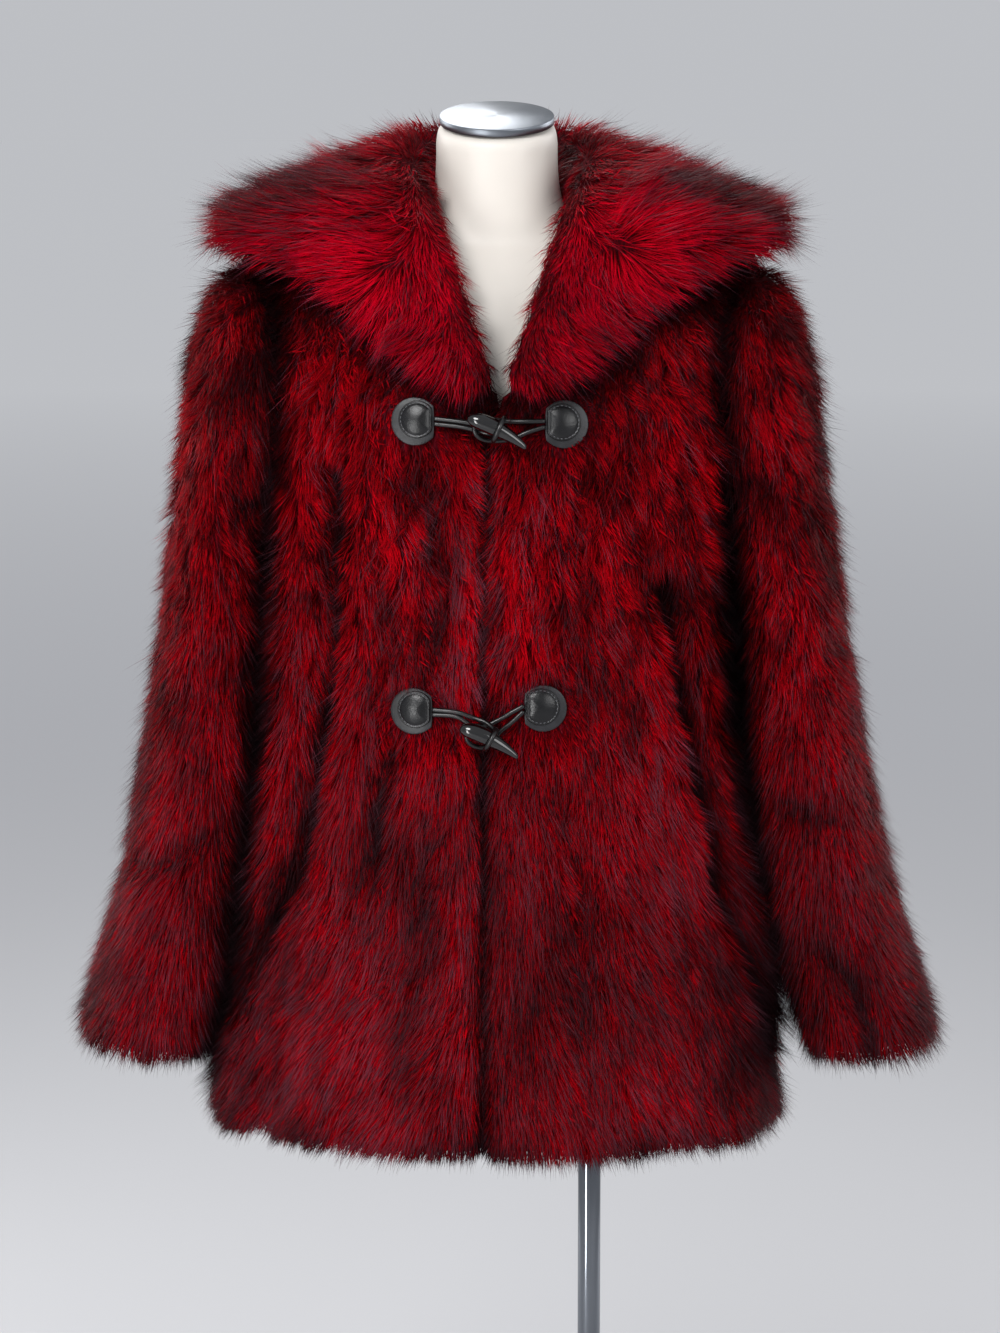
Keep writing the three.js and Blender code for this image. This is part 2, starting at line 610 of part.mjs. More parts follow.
for (const place of PATCHES) {
  add("patch_" + place.name, geometryOf(patch(place, PATCH.radius, PATCH.thick, PATCH.seat, 0.3)), leather);
  const top = patch(place, PATCH_TOP.radius, PATCH_TOP.thick, PATCH.seat + PATCH_TOP.rise, 0.6);
  add("patch_top_" + place.name, geometryOf(top), leather);
}
TOGGLES.forEach((toggle, i) => {
  add("toggle_" + toggle.name, geometryOf(horn(toggle)), hornGloss);
  add("toggle_cord_" + toggle.name, toggleCord(toggle, PATCHES[2 * i]), cordBlack);
  add("loop_cord_" + toggle.name, loopCord(toggle, PATCHES[2 * i + 1]), cordBlack);
});

add("form_torso", geometryOf(formSolid()), formShell);
const capSeat = [NECK_X, NECK_TOP.y - GAP * Math.sin(CAP_TILT), NECK_TOP.z + GAP * Math.cos(CAP_TILT)];
add("form_neck_cap", neckCap(), brushedSteel, capSeat, CAP_TILT);
add("form_flange", flange(), chrome, [POLE.x, POLE.y, FORM_BOTTOM_Z - FLANGE.thick - GAP]);
add("stand_pole", pole(), chrome, [POLE.x, POLE.y, BASE.thick + GAP]);
add("stand_boss", baseBoss(), chrome, [POLE.x, POLE.y, BASE.thick + GAP]);
add("stand_base", basePlate(), chrome);

export default jacket;
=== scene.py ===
# %% [markdown]
# # A faux fur jacket on a dress form
#
# This lesson finishes a long-pile faux fur jacket with a wide sailor collar. The jacket closes with two horn
# toggles, and hangs on a limbless dress form. Its construction is already there: a frame of plain solids, one
# for each piece that a maker would cut. Each step below gives one of those pieces its real surface.
#
# Everything is in metres. The front of the jacket faces -Y, and +X is the wearer's left.

import math
from types import SimpleNamespace

import bmesh
import bpy
import numpy as np
from mathutils import Matrix, Vector, kdtree, noise


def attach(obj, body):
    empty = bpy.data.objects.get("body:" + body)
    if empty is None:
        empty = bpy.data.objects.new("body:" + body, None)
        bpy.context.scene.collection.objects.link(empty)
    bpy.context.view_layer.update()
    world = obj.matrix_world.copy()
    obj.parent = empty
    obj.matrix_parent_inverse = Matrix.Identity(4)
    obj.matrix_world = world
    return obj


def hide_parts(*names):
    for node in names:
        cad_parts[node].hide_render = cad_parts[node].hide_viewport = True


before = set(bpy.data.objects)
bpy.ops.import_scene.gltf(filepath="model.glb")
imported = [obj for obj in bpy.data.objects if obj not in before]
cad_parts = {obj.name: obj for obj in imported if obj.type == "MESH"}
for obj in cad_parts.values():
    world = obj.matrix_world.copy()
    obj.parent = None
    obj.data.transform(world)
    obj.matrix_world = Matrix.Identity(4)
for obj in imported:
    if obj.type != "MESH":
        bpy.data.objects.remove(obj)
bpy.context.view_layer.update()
BODY = "root"
print("pieces in the frame:", len(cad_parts))

# %% [markdown]
# ## The camera, the floor and the lights
#
# The picture looks slightly down on the jacket, from the height of a standing person. A long lens keeps the
# hem and the collar in one scale, so the camera stands more than three metres away.
#
# Fur needs soft light: one small lamp would turn every hair into a hard black line. A big key light stands
# high in front, with a weaker fill to the right, and a low strip to the left wakes the chrome. One lamp above
# and two tall strips behind lift the edge of the pile.

# %% Camera
AIM = Vector((0, 0, 0.97366))
CAMERA_AWAY = 3.2
CAMERA_UP = math.radians(9)

camera = bpy.data.objects.new("camera", bpy.data.cameras.new("camera"))
camera.data.lens = 105.4
camera.data.sensor_width = 36
toward = Vector((0, -math.cos(CAMERA_UP), math.sin(CAMERA_UP)))
camera.location = AIM + CAMERA_AWAY * toward
camera.rotation_euler = toward.to_track_quat("Z", "Y").to_euler()
bpy.context.scene.collection.objects.link(camera)
bpy.context.scene.camera = camera
print("camera height", round(camera.location.z, 3))


# %% Lights and world
def soft_light(name, place, wide, tall, watts):
    """An upright rectangular area light that faces the jacket's chest."""
    lamp = bpy.data.lights.new(name, "AREA")
    lamp.shape = "RECTANGLE"
    lamp.size = wide
    lamp.size_y = tall
    lamp.energy = watts
    holder = bpy.data.objects.new(name, lamp)
    holder.location = place
    holder.rotation_euler = (Vector(place) - Vector((0, 0, 1.0))).to_track_quat("Z", "Y").to_euler()
    bpy.context.scene.collection.objects.link(holder)


soft_light("key", (-1.3, -2.6, 3.1), 1.4, 1.4, 92)
soft_light("fill", (2.2, -2.5, 1.9), 1.6, 1.6, 34)
soft_light("low_strip", (-1.15, -1.85, 0.66), 0.4, 1.3, 20)
soft_light("top_back", (-0.5, 2.3, 3.3), 1.2, 1.2, 34)
soft_light("edge_left", (-1.9, 1.0, 1.35), 0.5, 2.2, 32)
soft_light("edge_right", (1.9, 1.0, 1.35), 0.5, 2.2, 32)

world = bpy.data.worlds.new("studio")
world.use_nodes = True
world.node_tree.nodes["Background"].inputs["Color"].default_value = (0.93, 0.95, 1.0, 1)
world.node_tree.nodes["Background"].inputs["Strength"].default_value = 0.55
bpy.context.scene.world = world
bpy.context.scene.view_settings.view_transform = "Standard"

# %% [markdown]
# ## Helpers for materials
#
# Colours are written as the hex values that a painter would pick from a screen, and one function turns them
# to the linear values that shaders use. A second function adds a node, sets it and links it in one line.


# %% Helpers for materials
def colour(code):
    """A hex colour, such as 'c00018', as linear red, green, blue and alpha."""
    parts = [int(code[i : i + 2], 16) / 255 for i in (0, 2, 4)]
    linear = [p / 12.92 if p <= 0.04045 else ((p + 0.055) / 1.055) ** 2.4 for p in parts]
    return (*linear, 1.0)


def node(tree, kind, settings=None, **inputs):
    """Adds a node, with its own settings. Its inputs are values or sockets, by name or by number: _0 is the
    first input, and Custom__Normal is the one called Custom Normal."""
    made = tree.nodes.new(kind)
    for key, value in (settings or {}).items():
        setattr(made, key, value)
    for key, value in inputs.items():
        socket = made.inputs[int(key[1:]) if key[0] == "_" else key.replace("__", " ")]
        if isinstance(value, bpy.types.NodeSocket):
            tree.links.new(value, socket)
        else:
            socket.default_value = value
    return made


def new_material(name, **values):
    """A material with a Principled shader, and constants set on the shader's own sockets."""
    material = bpy.data.materials.new(name)
    material.use_nodes = True
    shader = material.node_tree.nodes["Principled BSDF"]
    for key, value in values.items():
        shader.inputs[key.replace("__", " ")].default_value = value
    return material, material.node_tree, shader


def ramp(tree, factor, *stops):
    """A colour ramp from (position, hex colour) pairs."""
    made = node(tree, "ShaderNodeValToRGB", _0=factor)
    elements = made.color_ramp.elements
    while len(elements) < len(stops):
        elements.new(0.5)
    for element, (place, code) in zip(elements, stops):
        element.position = place
        element.color = colour(code)
    return made.outputs["Color"]


def mixed(tree, factor, first, second, blend="MIX"):
    """Two colours mixed by a factor."""
    settings = {"data_type": "RGBA", "blend_type": blend}
    return node(tree, "ShaderNodeMix", settings, _0=factor, _6=first, _7=second).outputs[2]


def paint(tree, shader, socket, value):
    """Links a value to one of the shader's sockets."""
    tree.links.new(value, shader.inputs[socket])


def bump(tree, shader, height, strength, distance):
    """Relief from a pattern's height. The distance is its full depth, in metres."""
    made = node(tree, "ShaderNodeBump", Strength=strength, Distance=distance, Height=height)
    paint(tree, shader, "Normal", made.outputs["Normal"])


def every(millimetres):
    """The scale of a noise or cell pattern whose grains are this far apart."""
    return 1000 / millimetres


def band_every(millimetres):
    """The scale of a band pattern whose bands are this far apart. A wave texture runs 20 radians a unit."""
    return 1000 * math.tau / 20 / millimetres


def object_place(tree, stretch=(1, 1, 1)):
    """A point's place on the object in metres, stretched along the axes."""
    place = node(tree, "ShaderNodeTexCoord").outputs["Object"]
    return node(tree, "ShaderNodeVectorMath", {"operation": "MULTIPLY"}, _0=place, _1=stretch).outputs[0]


print("helpers ready")

# %% [markdown]
# ## Studio floor
#
# The floor is plain pale paper, far wider than the view. Its colour is painted a little darker near the
# jacket, under the lamps, and white far away, where only the studio lights it: painted shade and painted
# light that even it out, so that it melts into the white studio and shows no horizon.

# %% Floor
floor_mesh = bpy.data.meshes.new("floor")
FLOOR_REACH, FLOOR_AT = 60, -0.001
corner_signs = (-1, -1), (1, -1), (1, 1), (-1, 1)
floor_corners = [(x * FLOOR_REACH, y * FLOOR_REACH, FLOOR_AT) for x, y in corner_signs]
floor_mesh.from_pydata(floor_corners, [], [(0, 1, 2, 3)])
floor = bpy.data.objects.new("floor", floor_mesh)
bpy.context.scene.collection.objects.link(floor)
paper, paper_tree, paper_shader = new_material("seamless_paper", Roughness=1.0)
paper_shader.inputs["Specular IOR Level"].default_value = 0.0
away = node(paper_tree, "ShaderNodeVectorMath", {"operation": "LENGTH"}, _0=object_place(paper_tree))
spread = node(paper_tree, "ShaderNodeMapRange", Value=away.outputs["Value"], _1=1.0, _2=14.0).outputs[0]
# painted shade near the lamps and painted light far away, so that the floor shows no horizon
paper_painted_light = ramp(paper_tree, spread, (0.0, "b4b4b6"), (0.35, "dcdcde"), (1.0, "ffffff"))
paint(paper_tree, paper_shader, "Base Color", paper_painted_light)
floor.data.materials.append(paper)
print("floor laid")

# %% [markdown]
# ## The fur's finishes
#
# Faux fur is acrylic pile on a knitted backing. This one has deep red hair, dyed black and smoke grey at the
# tips. Four surfaces show: the dense pile, the longer guard hairs that stand through it, the short underfur
# at their roots, and the backing.
#
# Each hair carries two numbers in its UV map: how bright its place in the pile is, and how far along the
# hair a point lies. The first holds the pile's own tone, with painted shade in the creases, along the lap
# and where pieces crowd each other, and some painted light on the ridges. The materials read only those
# two, so the dye runs along every hair as it does in the mill.


# %% Hair materials
def hair_material(name, length_colours, dye_colours, dye_from, dye_to, roughness, shine):
    """Extruded acrylic fibre: red along its length, darker where the tone is low, and dyed towards the tip.
    dye_from and dye_to say how far along the dye starts and ends, for the darkest and the brightest hair."""
    material, tree, shader = new_material(name, Roughness=roughness)
    shader.inputs["Specular IOR Level"].default_value = shine
    shader.inputs["Specular Tint"].default_value = colour("ff7888")
    where = node(tree, "ShaderNodeUVMap", {"uv_map": "OFBake"})
    split = node(tree, "ShaderNodeSeparateXYZ", _0=where.outputs["UV"])
    tone, along = split.outputs["X"], split.outputs["Y"]
    red = ramp(tree, along, *length_colours)
    # the tone darkens the red: it holds the pile's own tone together with painted shade and painted light
    depth = ramp(tree, tone, (0.0, "484848"), (0.3, "8c8c8c"), (0.6, "d2d2d2"), (0.9, "ffffff"))
    hair = mixed(tree, 1.0, red, depth, "MULTIPLY")
    dye = ramp(tree, tone, *dye_colours)
    start = node(tree, "ShaderNodeMapRange", _0=tone, _3=dye_from[0], _4=dye_from[1]).outputs[0]
    end = node(tree, "ShaderNodeMapRange", _0=tone, _3=dye_to[0], _4=dye_to[1]).outputs[0]
    reach = node(tree, "ShaderNodeMapRange", _0=along, _1=start, _2=end).outputs[0]
    paint(tree, shader, "Base Color", mixed(tree, reach, hair, dye))
    return material


BODY_DYE = [(0.0, "080506"), (0.45, "22060a"), (0.75, "600812"), (1.0, "8c0a18")]
COLLAR_DYE = [(0.0, "0a0708"), (0.45, "2a0a12"), (0.75, "700a20"), (1.0, "a60a2a")]
GUARD_DYE = [(0.0, "0c0a0b"), (0.35, "1a1316"), (0.6, "3c2229"), (1.0, "743c4c")]
# The body's pile is matt, and its roots are painted nearly black, as painted shade deep in the pile, which
# gives the deep red with dark partings.
BODY_RED = [(0.0, "200004"), (0.35, "6c0008"), (0.7, "ba000e"), (1.0, "920612")]
PILE_HAIR = hair_material("acrylic_pile_hair", BODY_RED, BODY_DYE, (0.30, 0.85), (0.60, 1.0), 0.6, 0.05)
# The collar lies nearly level and is brushed open, so the eye meets its paler, pinker middle lengths. Its
# finish is also painted lighter and pinker than the body's, as painted sheen where the level collar catches
# the lamps.
COLLAR_RED = [(0.0, "300006"), (0.3, "7c000c"), (0.7, "bc0018"), (1.0, "a80828")]
collar_dyed = (0.35, 0.85), (0.65, 1.0)
COLLAR_HAIR = hair_material("acrylic_collar_hair", COLLAR_RED, COLLAR_DYE, *collar_dyed, 0.6, 0.06)
# Guard hairs are glossier, and smoke grey from the middle up, which gives the frosted look.
GUARD_RED = [(0.0, "4c0008"), (0.4, "8c0212"), (1.0, "800824")]
GUARD_HAIR = hair_material("acrylic_guard_hair", GUARD_RED, GUARD_DYE, (0.15, 0.45), (0.4, 0.8), 0.5, 0.12)


# %% Underfur and backing materials
def underfur():
    """Short crimped fibre, packed at the roots: matt and streaked, and painted dark as painted shade at the
    bottom of the partings, so that a parting shows no cloth.
    """
    material, tree, shader = new_material("packed_underfur", Roughness=0.95)
    shader.inputs["Specular IOR Level"].default_value = 0.08
    down = object_place(tree, (1, 1, 0.22))
    streaks = node(tree, "ShaderNodeTexNoise", _0=down, Scale=every(2.38), Detail=3.0)
    base = ramp(tree, streaks.outputs["Fac"], (0.3, "180003"), (0.5, "3c0007"), (0.75, "62000c"))
    paint(tree, shader, "Base Color", base)
    bump(tree, shader, streaks.outputs["Fac"], 0.8, 0.002)
    return material


def knitted_backing():
    """A dark plain knit, dull and ribbed. Its loops are drawn larger than real, so that they show."""
    material, tree, shader = new_material("knitted_backing", Roughness=0.9)
    place = object_place(tree)
    rows = node(tree, "ShaderNodeTexWave", {"bands_direction": "Z"}, _0=place, Scale=band_every(3.49))
    rows.inputs["Distortion"].default_value = 2.0
    loops = node(tree, "ShaderNodeTexVoronoi", _0=place, Scale=every(2.38))
    paint(tree, shader, "Base Color", ramp(tree, rows.outputs["Fac"], (0.2, "1c0408"), (0.8, "330810")))
    bump(tree, shader, loops.outputs["Distance"], 0.5, 0.002)
    return material


UNDERFUR = underfur()
BACKING = knitted_backing()
print("fur finishes:", [finish.name for finish in (PILE_HAIR, COLLAR_HAIR, GUARD_HAIR, UNDERFUR, BACKING)])

# %% [markdown]
# ## The cloth pieces
#
# A cloth piece starts as a copy of its solid. The copy is remeshed to an even skin and smoothed, which takes
# the flat facets out of the hanging folds. Then the creases that a dresser's hands leave are pressed in.
# Each is a row in a table, with the line that it runs along. A ridge is a crease of negative depth.


# %% Copy a solid as an even skin
def merged_copy(name, *sources):
    """A copy of one or more frame pieces as one new object, with its doubled corners merged."""
    shape = bmesh.new()
    for source in sources:
        shape.from_mesh(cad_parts[source].data)
    bmesh.ops.remove_doubles(shape, verts=shape.verts, dist=1e-5)
    mesh = bpy.data.meshes.new(name)
    shape.to_mesh(mesh)
    shape.free()
    piece = bpy.data.objects.new(name, mesh)
    bpy.context.scene.collection.objects.link(piece)
    return piece


def settled(piece):
    """Turns a piece and its modifiers into a plain mesh, and drops the modifiers."""
    plain = bpy.data.meshes.new_from_object(piece.evaluated_get(bpy.context.evaluated_depsgraph_get()))
    old = piece.data
    piece.modifiers.clear()
    piece.data = plain
    bpy.data.meshes.remove(old)
    plain.name = piece.name
    return piece


def even_skin(name, sources, voxel, smoothings):
    """A remeshed, smoothed copy of frame pieces. Halves that are sewn together become one skin."""
    piece = merged_copy(name, *sources)
    remesh = piece.modifiers.new("even", "REMESH")
    remesh.mode = "VOXEL"
    remesh.voxel_size = voxel
    relax = piece.modifiers.new("relax", "SMOOTH")
    relax.factor = 0.5
    relax.iterations = smoothings
    return settled(piece)


def smooth(piece):
    """Shades all of a piece's faces smooth."""
    piece.data.polygons.foreach_set("use_smooth", np.ones(len(piece.data.polygons), bool))
    return piece


def column(mesh, label):
    """The places ("co") or normals of a mesh's points, as an array."""
    flat = np.empty(len(mesh.vertices) * 3)
    mesh.vertices.foreach_get(label, flat)
    return flat.reshape(-1, 3)


def finished(piece, slot, sources, *materials):
    """Gives a piece its materials, attaches it to the body, and hides the frame pieces that it stands for.
    Its slot is not used.
    """
    for material in materials:
        piece.data.materials.append(material)
    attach(piece, BODY)
    if sources:
        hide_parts(*sources)
    return piece


def unit(vectors):
    """The same directions, each one unit long."""
    return vectors / np.maximum(np.linalg.norm(vectors, axis=1), 1e-9)[:, None]


def along_line(points, line):
    """0 at the upper end of a line and 1 at its lower end, by height."""
    return (line[0][2] - points[:, 2]) / (line[0][2] - line[-1][2])


def off_line(points, line, flatten=(1, 1, 1)):
    """Each point's distance from a line of straight stretches, and the step from the point to it."""
    best = np.full(len(points), 9.0)
    step = np.zeros_like(points)
    for a, b in zip(line[:-1], line[1:]):
        a, b = np.array(a), np.array(b)
        t = np.clip(((points - a) @ (b - a)) / ((b - a) @ (b - a)), 0, 1)
        to_line = (a + t[:, None] * (b - a) - points) * flatten
        size = np.linalg.norm(to_line, axis=1)
        nearer = size < best
        best = np.where(nearer, size, best)
        step[nearer] = to_line[nearer]
    return best, step


# %% Creases
CREASES = [  # piece, line, half its width, depth
    ("front_right", [(-0.131, -0.095, 1.15), (-0.134, -0.095, 1.05), (-0.138, -0.092, 0.98),
                     (-0.152, -0.088, 0.90), (-0.165, -0.085, 0.84), (-0.195, -0.075, 0.765),
                     (-0.210, -0.07, 0.71)], 0.014, 0.017),
    ("front_right", [(-0.190, -0.080, 1.13), (-0.192, -0.08, 0.95), (-0.206, -0.08, 0.82)], 0.014, 0.010),
    ("front_right", [(-0.163, -0.095, 1.12), (-0.163, -0.09, 0.98), (-0.180, -0.085, 0.86)], 0.013, -0.009),
    ("front_right", [(-0.113, -0.110, 1.08), (-0.113, -0.11, 0.95), (-0.132, -0.10, 0.84)], 0.013, -0.006),
    ("front_right", [(-0.090, -0.125, 0.93), (-0.099, -0.125, 0.88), (-0.099, -0.125, 0.82)], 0.013, 0.007),
    ("front_right", [(-0.060, -0.13, 1.15), (-0.046, -0.13, 1.06), (-0.052, -0.13, 0.98)], 0.018, 0.006),
    ("front_right", [(-0.060, -0.14, 0.86), (-0.052, -0.15, 0.76), (-0.076, -0.15, 0.64)], 0.020, 0.003),
    ("front_right", [(-0.112, -0.14, 0.78), (-0.132, -0.14, 0.66)], 0.024, -0.007),
    ("front_left", [(0.182, -0.08, 1.13), (0.180, -0.085, 1.06), (0.187, -0.085, 1.00),
                    (0.199, -0.08, 0.90), (0.213, -0.06, 0.82)], 0.016, 0.010),
    ("front_left", [(0.134, -0.10, 1.06), (0.142, -0.10, 0.99), (0.158, -0.097, 0.913),
                    (0.178, -0.09, 0.82), (0.196, -0.065, 0.765), (0.212, -0.045, 0.71),
                    (0.232, -0.02, 0.61)], 0.013, 0.016),
    ("front_left", [(0.160, -0.095, 1.03), (0.177, -0.09, 0.92), (0.197, -0.07, 0.83)], 0.012, -0.007),
    ("front_left", [(0.118, -0.11, 1.02), (0.138, -0.105, 0.90), (0.160, -0.10, 0.80)], 0.014, -0.006),
    ("front_left", [(0.056, -0.14, 0.90), (0.066, -0.15, 0.78), (0.058, -0.15, 0.65)], 0.022, 0.002),
    ("back", [(-0.120, 0.11, 1.10), (-0.135, 0.12, 0.95), (-0.150, 0.12, 0.74)], 0.022, 0.012),
    ("back", [(-0.080, 0.12, 1.02), (-0.090, 0.12, 0.84)], 0.020, -0.006),
    ("back", [(-0.030, 0.12, 1.06), (-0.042, 0.13, 0.88), (-0.034, 0.14, 0.68)], 0.020, 0.009),
    ("back", [(0.075, 0.12, 1.09), (0.090, 0.13, 0.92), (0.112, 0.13, 0.71)], 0.022, 0.012),
    ("back", [(0.150, 0.10, 1.02), (0.166, 0.10, 0.86)], 0.018, -0.007),
    ("back", [(0.200, 0.07, 1.08), (0.214, 0.08, 0.90)], 0.018, 0.009),
    ("sleeve_right", [(-0.205, -0.07, 1.13), (-0.222, -0.075, 1.10), (-0.245, -0.05, 1.09)], 0.014, 0.005),
    ("sleeve_right", [(-0.215, -0.08, 0.99), (-0.243, -0.08, 0.965), (-0.270, -0.05, 0.96)], 0.015, 0.005),
    ("sleeve_right", [(-0.240, -0.08, 0.86), (-0.268, -0.08, 0.83), (-0.290, -0.05, 0.82)], 0.014, 0.005),
    ("sleeve_right", [(-0.24, 0.07, 0.95), (-0.26, 0.06, 0.88)], 0.018, 0.005),
    ("sleeve_left", [(0.200, -0.07, 1.15), (0.222, -0.08, 1.12), (0.250, -0.05, 1.12)], 0.015, 0.005),
    ("sleeve_left", [(0.210, -0.08, 1.02), (0.242, -0.08, 0.99), (0.272, -0.05, 1.00)], 0.014, 0.006),
    ("sleeve_left", [(0.252, -0.085, 0.765), (0.280, -0.085, 0.742), (0.294, -0.08, 0.705),
                     (0.300, -0.07, 0.655)], 0.014, 0.007),
    ("sleeve_left", [(0.230, -0.08, 0.89), (0.262, -0.08, 0.86)], 0.016, 0.005),
    ("sleeve_left", [(0.25, 0.07, 0.92), (0.27, 0.06, 0.86)], 0.018, 0.005),
]
FULLY_SHADED = 0.010  # a crease of this depth gets the full painted shade
print(len(CREASES), "creases and ridges")


def press_creases(piece, name, outward):
    """Moves points in, against outward, near each crease's line. Returns how deep in a crease each point
    lies (below zero: on a ridge), and the way to that crease's line."""
    points = column(piece.data, "co")
    shift, inside, step = np.zeros(len(points)), np.zeros(len(points)), np.zeros_like(points)
    for where, line, half, depth in CREASES:
        if where != name:
            continue
        nearest, to_line = off_line(points, line, (1, 0.55, 1))
        down = along_line(points, line)
        fade = np.clip(6 * down + 1, 0, 1) * np.clip(3.6 - 3.5 * down, 0, 1)
        near = fade * (0.5 + 0.5 * np.cos(np.pi * np.clip(nearest / (2 * half), 0, 1)))
        shift += depth * near
        inside += fade * depth / FULLY_SHADED * np.exp(-((nearest / (0.80 * half)) ** 2))
        step += (near * (depth > 0))[:, None] * unit(to_line)
    piece.data.vertices.foreach_set("co", (points - outward * shift[:, None]).ravel())
    piece.data.update()
    return np.clip(inside, -1, 1.2), step


# %% [markdown]
# Which way is outward? For the body it is away from the wearer's spine, and for a sleeve away from the line
# through the middle of the arm. The same direction later tells which side of the cloth carries hair.

# %% Outward directions
ARM_LINE = {
    "x": (0.150, 0.200, 0.218, 0.230, 0.247, 0.262, 0.278, 0.301),
    "y": (0.003, 0.003, 0.001, -0.003, -0.011, -0.017, -0.020, -0.022),
    "z": (1.200, 1.190, 1.130, 1.040, 0.920, 0.820, 0.735, 0.640),
}


def from_spine(points):
    """Level, away from the spine, and a little upwards at the shoulders."""
    away = points * (1, 1.35, 0)
    away[:, 2] = np.clip((points[:, 2] - 1.24) / 0.09, 0, 1) * 0.35
    return unit(away)


def from_arm(side):
    """A function that gives the way out of one arm: side is 1 for the wearer's left and -1 for the right."""
    line = [(side * x, y, z) for x, y, z in zip(ARM_LINE["x"], ARM_LINE["y"], ARM_LINE["z"])]
    return lambda points: unit(-off_line(points, line)[1])


BODY_PIECES = ("front_left", "front_right", "back")
SLEEVES = ("sleeve_left", "sleeve_right")
OUTWARD = {name: from_spine for name in BODY_PIECES}
OUTWARD |= {"sleeve_left": from_arm(1), "sleeve_right": from_arm(-1)}
CLOTH = {  # what each cloth piece is made from, the size of its skin's faces, and how often it is smoothed
    "front_left": (["front_left"], 0.009, 7),
    "front_right": (["front_right"], 0.009, 7),
    "back": (["back_left", "back_right"], 0.010, 7),
    "sleeve_left": (["sleeve_left_front", "sleeve_left_back"], 0.009, 7),
    "sleeve_right": (["sleeve_right_front", "sleeve_right_back"], 0.009, 7),
    "collar": (["collar"], 0.008, 8),
}

cloth, creased = {}, {}
for name, recipe in CLOTH.items():
    piece = smooth(even_skin("cloth_" + name, *recipe))
    if name in OUTWARD:
        creased[name] = press_creases(piece, name, OUTWARD[name](column(piece.data, "co")))
    cloth[name] = piece
    print(name, len(piece.data.polygons), "faces")

# %% [markdown]
# ## Where pieces crowd each other
#
# Under the arms, under the collar and along the armholes two furred pieces meet. Hair there is in shadow,
# and its tone is painted darker there as painted shade, which draws the jacket's main lines. So each point
# looks a little way out of the cloth for another piece.
#
# At the side seams the fronts and the back meet too, but there the pile runs across, so that no seam shows.


# %% Crowding
LOOK_OUT = 0.014  # how far out of the cloth each point looks
TOUCHING, FADE = 0.006, 0.026  # crowded in full when this near, fading to none over the next stretch
SIDE_FROM = 0.12  # the side seams are farther out than this, and the lap in front is nearer


def crowding(name, others):
    """0 where a point has room, and 1 where one of the others touches the hair that stands on it."""
    spots = np.concatenate([column(cloth[n].data, "co") for n in others])
    tree = kdtree.KDTree(len(spots))
    for i, spot in enumerate(spots):
        tree.insert(spot, i)
    tree.balance()
    mesh = cloth[name].data
    ends = column(mesh, "co") + LOOK_OUT * column(mesh, "normal")
    away = np.array([tree.find(end)[2] for end in ends])
    return np.clip(1 - (away - TOUCHING) / FADE, 0, 1)


def side_crowding(name):
    """Crowding between a front and the back, at the side seams only."""
    farther_out = np.abs(column(cloth[name].data, "co")[:, 0]) > SIDE_FROM
    return crowding(name, [other for other in BODY_PIECES if other != name]) * farther_out


beside_arm = {name: crowding(name, SLEEVES) for name in BODY_PIECES}
beside_arm |= {name: crowding(name, BODY_PIECES) for name in SLEEVES}
under_collar = {name: crowding(name, ["collar"]) for name in cloth if name != "collar"}
under_collar["collar"] = crowding("collar", [*BODY_PIECES, *SLEEVES])
side_seam = {name: side_crowding(name) for name in BODY_PIECES}
print({name: round(float(values.mean()), 2) for name, values in under_collar.items()})

# %% [markdown]
# The even skin has rounded every corner of the cloth, so the fronts and the back draw apart where the side
# seams end. Their lowest corners are moved together and down again.


# %% Hem corners
def meet_at_hem(name):
    """Moves a piece's lower corners towards the piece on the other side of the seam."""
    points = column(cloth[name].data, "co")
    low = np.clip(1 - (points[:, 2] - points[:, 2].min()) / 0.04, 0, 1)
    toward = -0.007 if name == "back" else 0.007
    points += (side_seam[name] * low)[:, None] * (0, toward, -0.004)
    cloth[name].data.vertices.foreach_set("co", points.ravel())
    cloth[name].data.update()


for name in BODY_PIECES:
    meet_at_hem(name)
print("hem corners meet")

# %% [markdown]
# ## Combing the fur
#
# A dresser strokes the pile down the body and the arms, and outwards over the collar. Here each point of
# the cloth gets that stroke as a vector. It also gets a lift off the cloth, the hair's length, how thick it
# grows, its tone, how smoky it is and how ruffled. Slow noise bends the strokes, as handling does. Along the
# creases the hair falls inwards from both sides.
#
# The collar is combed away from its roll line, the edge where it turns over at the neck, and it opens like
# a star in the middle of each wing. Round the leather patches and cords the pile is pressed flat.

# %% Places that the comb goes round
ROLL_LINE = {  # one half of the collar, from the tip of the V up and round to the nape
    "x": (0.007, 0.025, 0.043, 0.057, 0.066, 0.062, 0.045, 0.023, 0.000),
    "y": (-0.141, -0.130, -0.104, -0.078, -0.026, 0.036, 0.068, 0.078, 0.080),
    "z": (1.216, 1.250, 1.300, 1.349, 1.386, 1.397, 1.402, 1.404, 1.404),
}
COLLAR_BORDER = [  # the wings' lower edges, where the pile turns under, with painted shade along them
    [(-0.050, -0.13, 1.202), (-0.070, -0.13, 1.212), (-0.148, -0.11, 1.260), (-0.205, -0.07, 1.296),
     (-0.225, -0.05, 1.312)],
    [(0.040, -0.13, 1.204), (0.094, -0.13, 1.232), (0.150, -0.11, 1.268), (0.200, -0.07, 1.296),
     (0.228, -0.05, 1.308)],
]
STARS = [(-0.087, -0.105, 1.305), (0.098, -0.100, 1.318)]  # the middle of each wing
FASTENINGS = {  # the middle of each round patch, and its radius
    "x": (-0.066, 0.050, -0.068, 0.034),
    "z": (1.187, 1.185, 0.958, 0.961),
    "radius": (0.0188, 0.0188, 0.0188, 0.0188),
}
CORDS = [
    [(-0.050, 0, 1.185), (0.000, 0, 1.181), (0.035, 0, 1.184)],
    [(-0.052, 0, 0.956), (-0.007, 0, 0.939), (0.018, 0, 0.958)],
]
